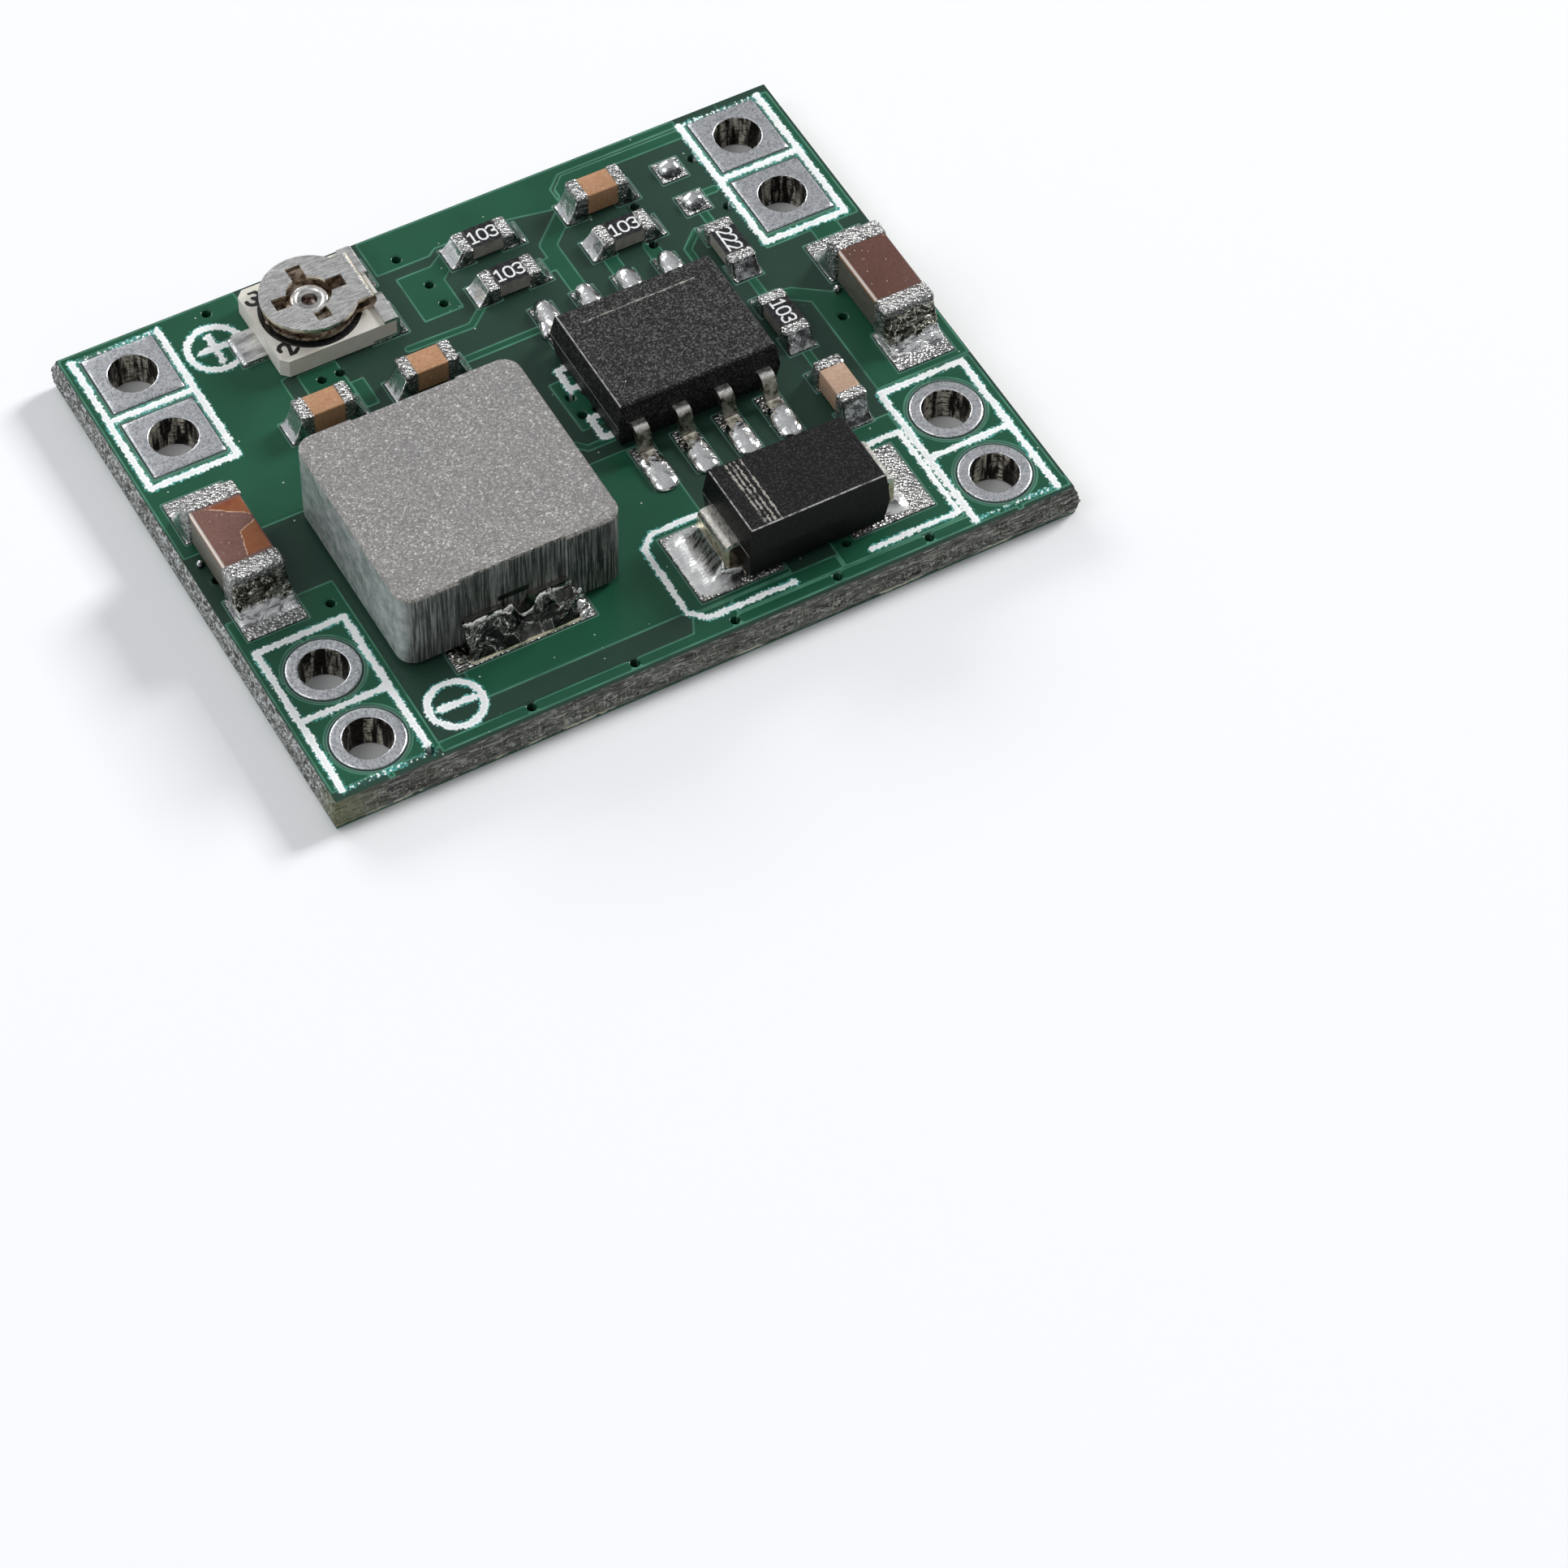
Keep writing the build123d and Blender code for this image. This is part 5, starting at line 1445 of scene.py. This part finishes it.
RESISTOR_NUMBERS = {"upper_feedback_resistor": "103", "lower_feedback_resistor": "103",
                    "compensation_resistor": "103", "frequency_resistor": "103",
                    "enable_resistor": "222"}


def number_field(cx, cy, heading, text, height, width):
    """Field of a plain number: its word in coordinates that are moved to a middle and turned by the cosine
    and sine of the heading along which it is read."""
    step = 0.76 * height
    left = -(len(text) - 1) * step / 2 - 0.31 * height
    c, s = math.cos(math.radians(heading)), math.sin(math.radians(heading))

    def field(x, y):
        """The word's strokes, at a place turned back to where they are level."""
        u, v = c * (x - cx) + s * (y - cy), c * (y - cy) - s * (x - cx)
        return word(u, v, text, left, -height / 2, height, step, width)
    return field


def bar_field(x, y):
    """The pale bar on the chip: a stroke with a ragged rim from a random field."""
    level = 1.66
    return stroke(x, y, [(1.58, level), (4.91, level)], 0.06) + 0.02 * patchy(x, y, 0.07, 81)


def band_field(x, y):
    """The diode's cathode band: four strokes side by side, ragged by a random field."""
    lines = [stroke(x, y, [(at, -7.3), (at, -4.7)], 0.075) for at in (2.26, 2.39, 2.53, 2.70)]
    return either(*lines) + 0.03 * patchy(x, y, 0.06, 82)


def flake_field(x, y):
    """Two orange flakes on a large capacitor: outlines, ragged by a random field."""
    upper = outline(x, y, [(-10.15, 0.87), (-8.9, 0.87), (-8.9, 0.02), (-9.3, 0.33)])
    lower = outline(x, y, [(-9.52, -0.28), (-8.9, -0.02), (-8.9, -1.13), (-9.72, -1.13), (-9.62, -0.7)])
    return either(upper, lower) + 0.03 * patchy(x, y, 0.12, 83)


def add_markings():
    """Every marked face: the resistors' numbers, the chip's bar, the diode's band, the trimmer's two digits
    and the flakes on a capacitor, each a skin with its own field."""
    for name, text in RESISTOR_NUMBERS.items():
        cx, cy, upright = SMALL_PARTS[name]
        hx, hy = (0.37, 0.44) if upright else (0.44, 0.37)
        heading = -90 if upright else 0
        skin(name + "_number", cx - hx, cx + hx, cy - hy, cy + hy, RESISTOR_TOP, 0.018,
             number_field(cx, cy, heading, text, 0.40, 0.075), RESISTOR_BODY, "resistor_ceramic")
    skin("chip_bar", 1.50, 5.0, 1.54, 1.78, CHIP_TOP, 0.025, bar_field, CHIP_MOULDING, "black_moulding")
    skin("cathode_band", 2.18, 2.86, -7.13, -4.85, DIODE_TOP, 0.022, band_field, DIODE_MOULDING,
         "black_moulding")
    for name, text, y, low, high, heading in (("trimmer_number_1", "2", 5.30, 5.03, 5.65, 36),
                                              ("trimmer_number_2", "3", 7.38, 7.03, 7.65, -36)):
        skin(name, -5.77, -5.09, low, high, TRIMMER_BASE_TOP, 0.02,
             number_field(-5.47, y, heading, text, 0.48, 0.14), CERAMIC, "trimmer_ceramic")
    skin("output_capacitor_face", -10.40, -9.0, -1.10, 0.84, CERAMIC_TOP, 0.025, flake_field, MAUVE_CAPACITOR,
         "capacitor_ceramic")


# Room, light and camera

def add_floor():
    """A pale floor of one square, three metres to each side, faintly cloudy."""
    far = 3.0
    mesh = bpy.data.meshes.new("floor")
    mesh.from_pydata([(-far, -far, 0), (far, -far, 0), (far, far, 0), (-far, far, 0)], [], [(0, 1, 2, 3)])
    f = Finish("pale_floor", Roughness=0.9)
    tone = f.blend(f.span(f.noise(0.002, 1), 0.3, 0.7), (0.955, 0.965, 0.985), (0.945, 0.955, 0.975))
    mesh.materials.append(f.use(Base_Color=tone))
    floor = bpy.data.objects.new("floor", mesh)
    bpy.context.scene.collection.objects.link(floor)


def add_lamp(name, place, aim, size, power):
    """A soft window: a rectangular lamp at a place in metres, turned so that its back axis runs from what it
    aims at to its place, with its other axes level and square to that."""
    lamp = bpy.data.lights.new(name, "AREA")
    lamp.shape = "RECTANGLE"
    lamp.size, lamp.size_y = size
    lamp.energy = power
    obj = bpy.data.objects.new(name, lamp)
    bpy.context.scene.collection.objects.link(obj)
    away = np.array(place, float) - np.array(aim, float)
    z = away / np.linalg.norm(away)
    x = np.cross((0, 0, 1), z)
    x /= np.linalg.norm(x)
    y = np.cross(z, x)
    turn = Matrix(np.stack([x, y, z], 1).tolist()).to_4x4()
    turn.translation = place
    obj.matrix_world = turn


def add_light():
    """A sky whose strength grows with how far a direction agrees with one that is up, left and back, and
    three soft windows, at the left, behind and at the right."""
    world = bpy.data.worlds.new("studio")
    bpy.context.scene.world = world
    world.use_nodes = True
    nodes, links = world.node_tree.nodes, world.node_tree.links
    sky = nodes["Background"]
    where = nodes.new("ShaderNodeTexCoord")
    toward = nodes.new("ShaderNodeVectorMath")
    toward.operation = "DOT_PRODUCT"
    toward.inputs[1].default_value = (-0.60, 0.30, 0.74)
    links.new(where.outputs["Generated"], toward.inputs[0])
    level = nodes.new("ShaderNodeMapRange")
    for key, number in (("From Min", -0.5), ("From Max", 1.0), ("To Min", 0.105), ("To Max", 0.56)):
        level.inputs[key].default_value = number
    links.new(toward.outputs["Value"], level.inputs["Value"])
    links.new(level.outputs["Result"], sky.inputs["Strength"])
    sky.inputs["Color"].default_value = (0.96, 0.98, 1.0, 1)
    add_lamp("left_window", (-0.85, 0.0, 1.10), (0, 0, 0), (0.80, 0.80), 3.1)
    add_lamp("back_window", (-0.25, 1.20, 0.62), (0, 0, 0), (0.90, 0.40), 5.4)
    add_lamp("right_window", (1.25, 0.22, 0.80), (0, 0, 0), (0.40, 0.40), 16.3)


def add_camera():
    """Camera fitted to the board's corners, holes and known pitches in the picture: it looks down at the
    board from an azimuth and an elevation, rolled a little, from a distance, with the board off the middle
    by steps across and up. The focal length is in pixels of the picture's width."""
    picture_width, film_width = 1932, 36.0
    focal, azimuth, elevation, roll = 6525.03, -30.732, 52.972, 1.703
    across, up_by, distance = 5.933, -9.604, 141.11
    a, e, r = (math.radians(v) for v in (azimuth, elevation, roll))
    back = np.array([math.sin(a) * math.cos(e), -math.cos(a) * math.cos(e), math.sin(e)])
    right = np.array([math.cos(a), math.sin(a), 0.0])
    up = np.cross(back, right)
    x = math.cos(r) * right + math.sin(r) * up
    y = -math.sin(r) * right + math.cos(r) * up
    place = back * distance + x * across + y * up_by + np.array([0, 0, SHEET_TOP])
    camera = bpy.data.cameras.new("camera")
    camera.sensor_width = film_width
    camera.sensor_fit = "HORIZONTAL"
    camera.lens = film_width * focal / picture_width
    camera.clip_start = 0.002
    camera.clip_end = 20.0
    obj = bpy.data.objects.new("camera", camera)
    bpy.context.scene.collection.objects.link(obj)
    turn = Matrix(np.stack([x, y, back], 1).tolist()).to_4x4()
    turn.translation = (place * MM).tolist()
    obj.matrix_world = turn
    bpy.context.scene.camera = obj


# The board, its solder, its parts and their marks

dress_nodes()
lacquer("lacquer_top", TOP_HALF, 0.061, SHEET_TOP, 1, top_copper, top_ink, top_open, LACQUER_TOP)
lacquer("lacquer_bottom", BOTTOM_HALF, 0.085, SHEET_BOTTOM, -1, bottom_copper, bottom_ink, closed_all_over,
        LACQUER_BOTTOM)
board_rim(LAMINATE_EDGE)
for hole_name, hole_x, hole_y, hole_square in WIRE_HOLES:
    wire_land(hole_name, hole_x, hole_y, hole_square, PLATING)
land_blocks = [rounded_block(x0, x1, y0, y1, SHEET_TOP - 0.01, SEAT, 0.025) for x0, x1, y0, y1 in LANDS]
piece("lands", *join(*land_blocks), TIN_LAND, "solder", sharp=60)
piece("solder", *join(*chip_solder(), *solder_drops()), SOLDER, "solder", stands_for=("solder_joints",),
      sharp=70)
for solder_name, drops, solder_finish in (("lead_solder", lead_solder(), DROP_SOLDER),
                                          ("pool_solder", pool_solder(), POOL_SOLDER),
                                          ("dark_solder", dark_solder(), DARK_SOLDER),
                                          ("end_solder", end_solder(), END_SOLDER)):
    piece(solder_name, *join(*drops), solder_finish, "solder", sharp=70)
strip_solder(STRIP_SOLDER)
dimple_bowl(TRACK_BLACK)
for part in SMALL_PARTS:
    chip_ends(part, SMALL_BAND, 0.07, PLATED_END)
for part, part_finish in LARGE_CERAMIC.items():
    chip_ends(part, LARGE_BAND, 0.13, PLATED_END)
    ceramic_body(part, 0.07, 0.06, part_finish)
for part, part_finish in SMALL_CERAMIC.items():
    ceramic_body(part, CERAMIC_LEDGE, 0.04, part_finish)
eyelet(EYELET_METAL)
add_markings()

add_floor()
add_light()
add_camera()
scene = bpy.context.scene
scene.view_settings.view_transform = "Standard"
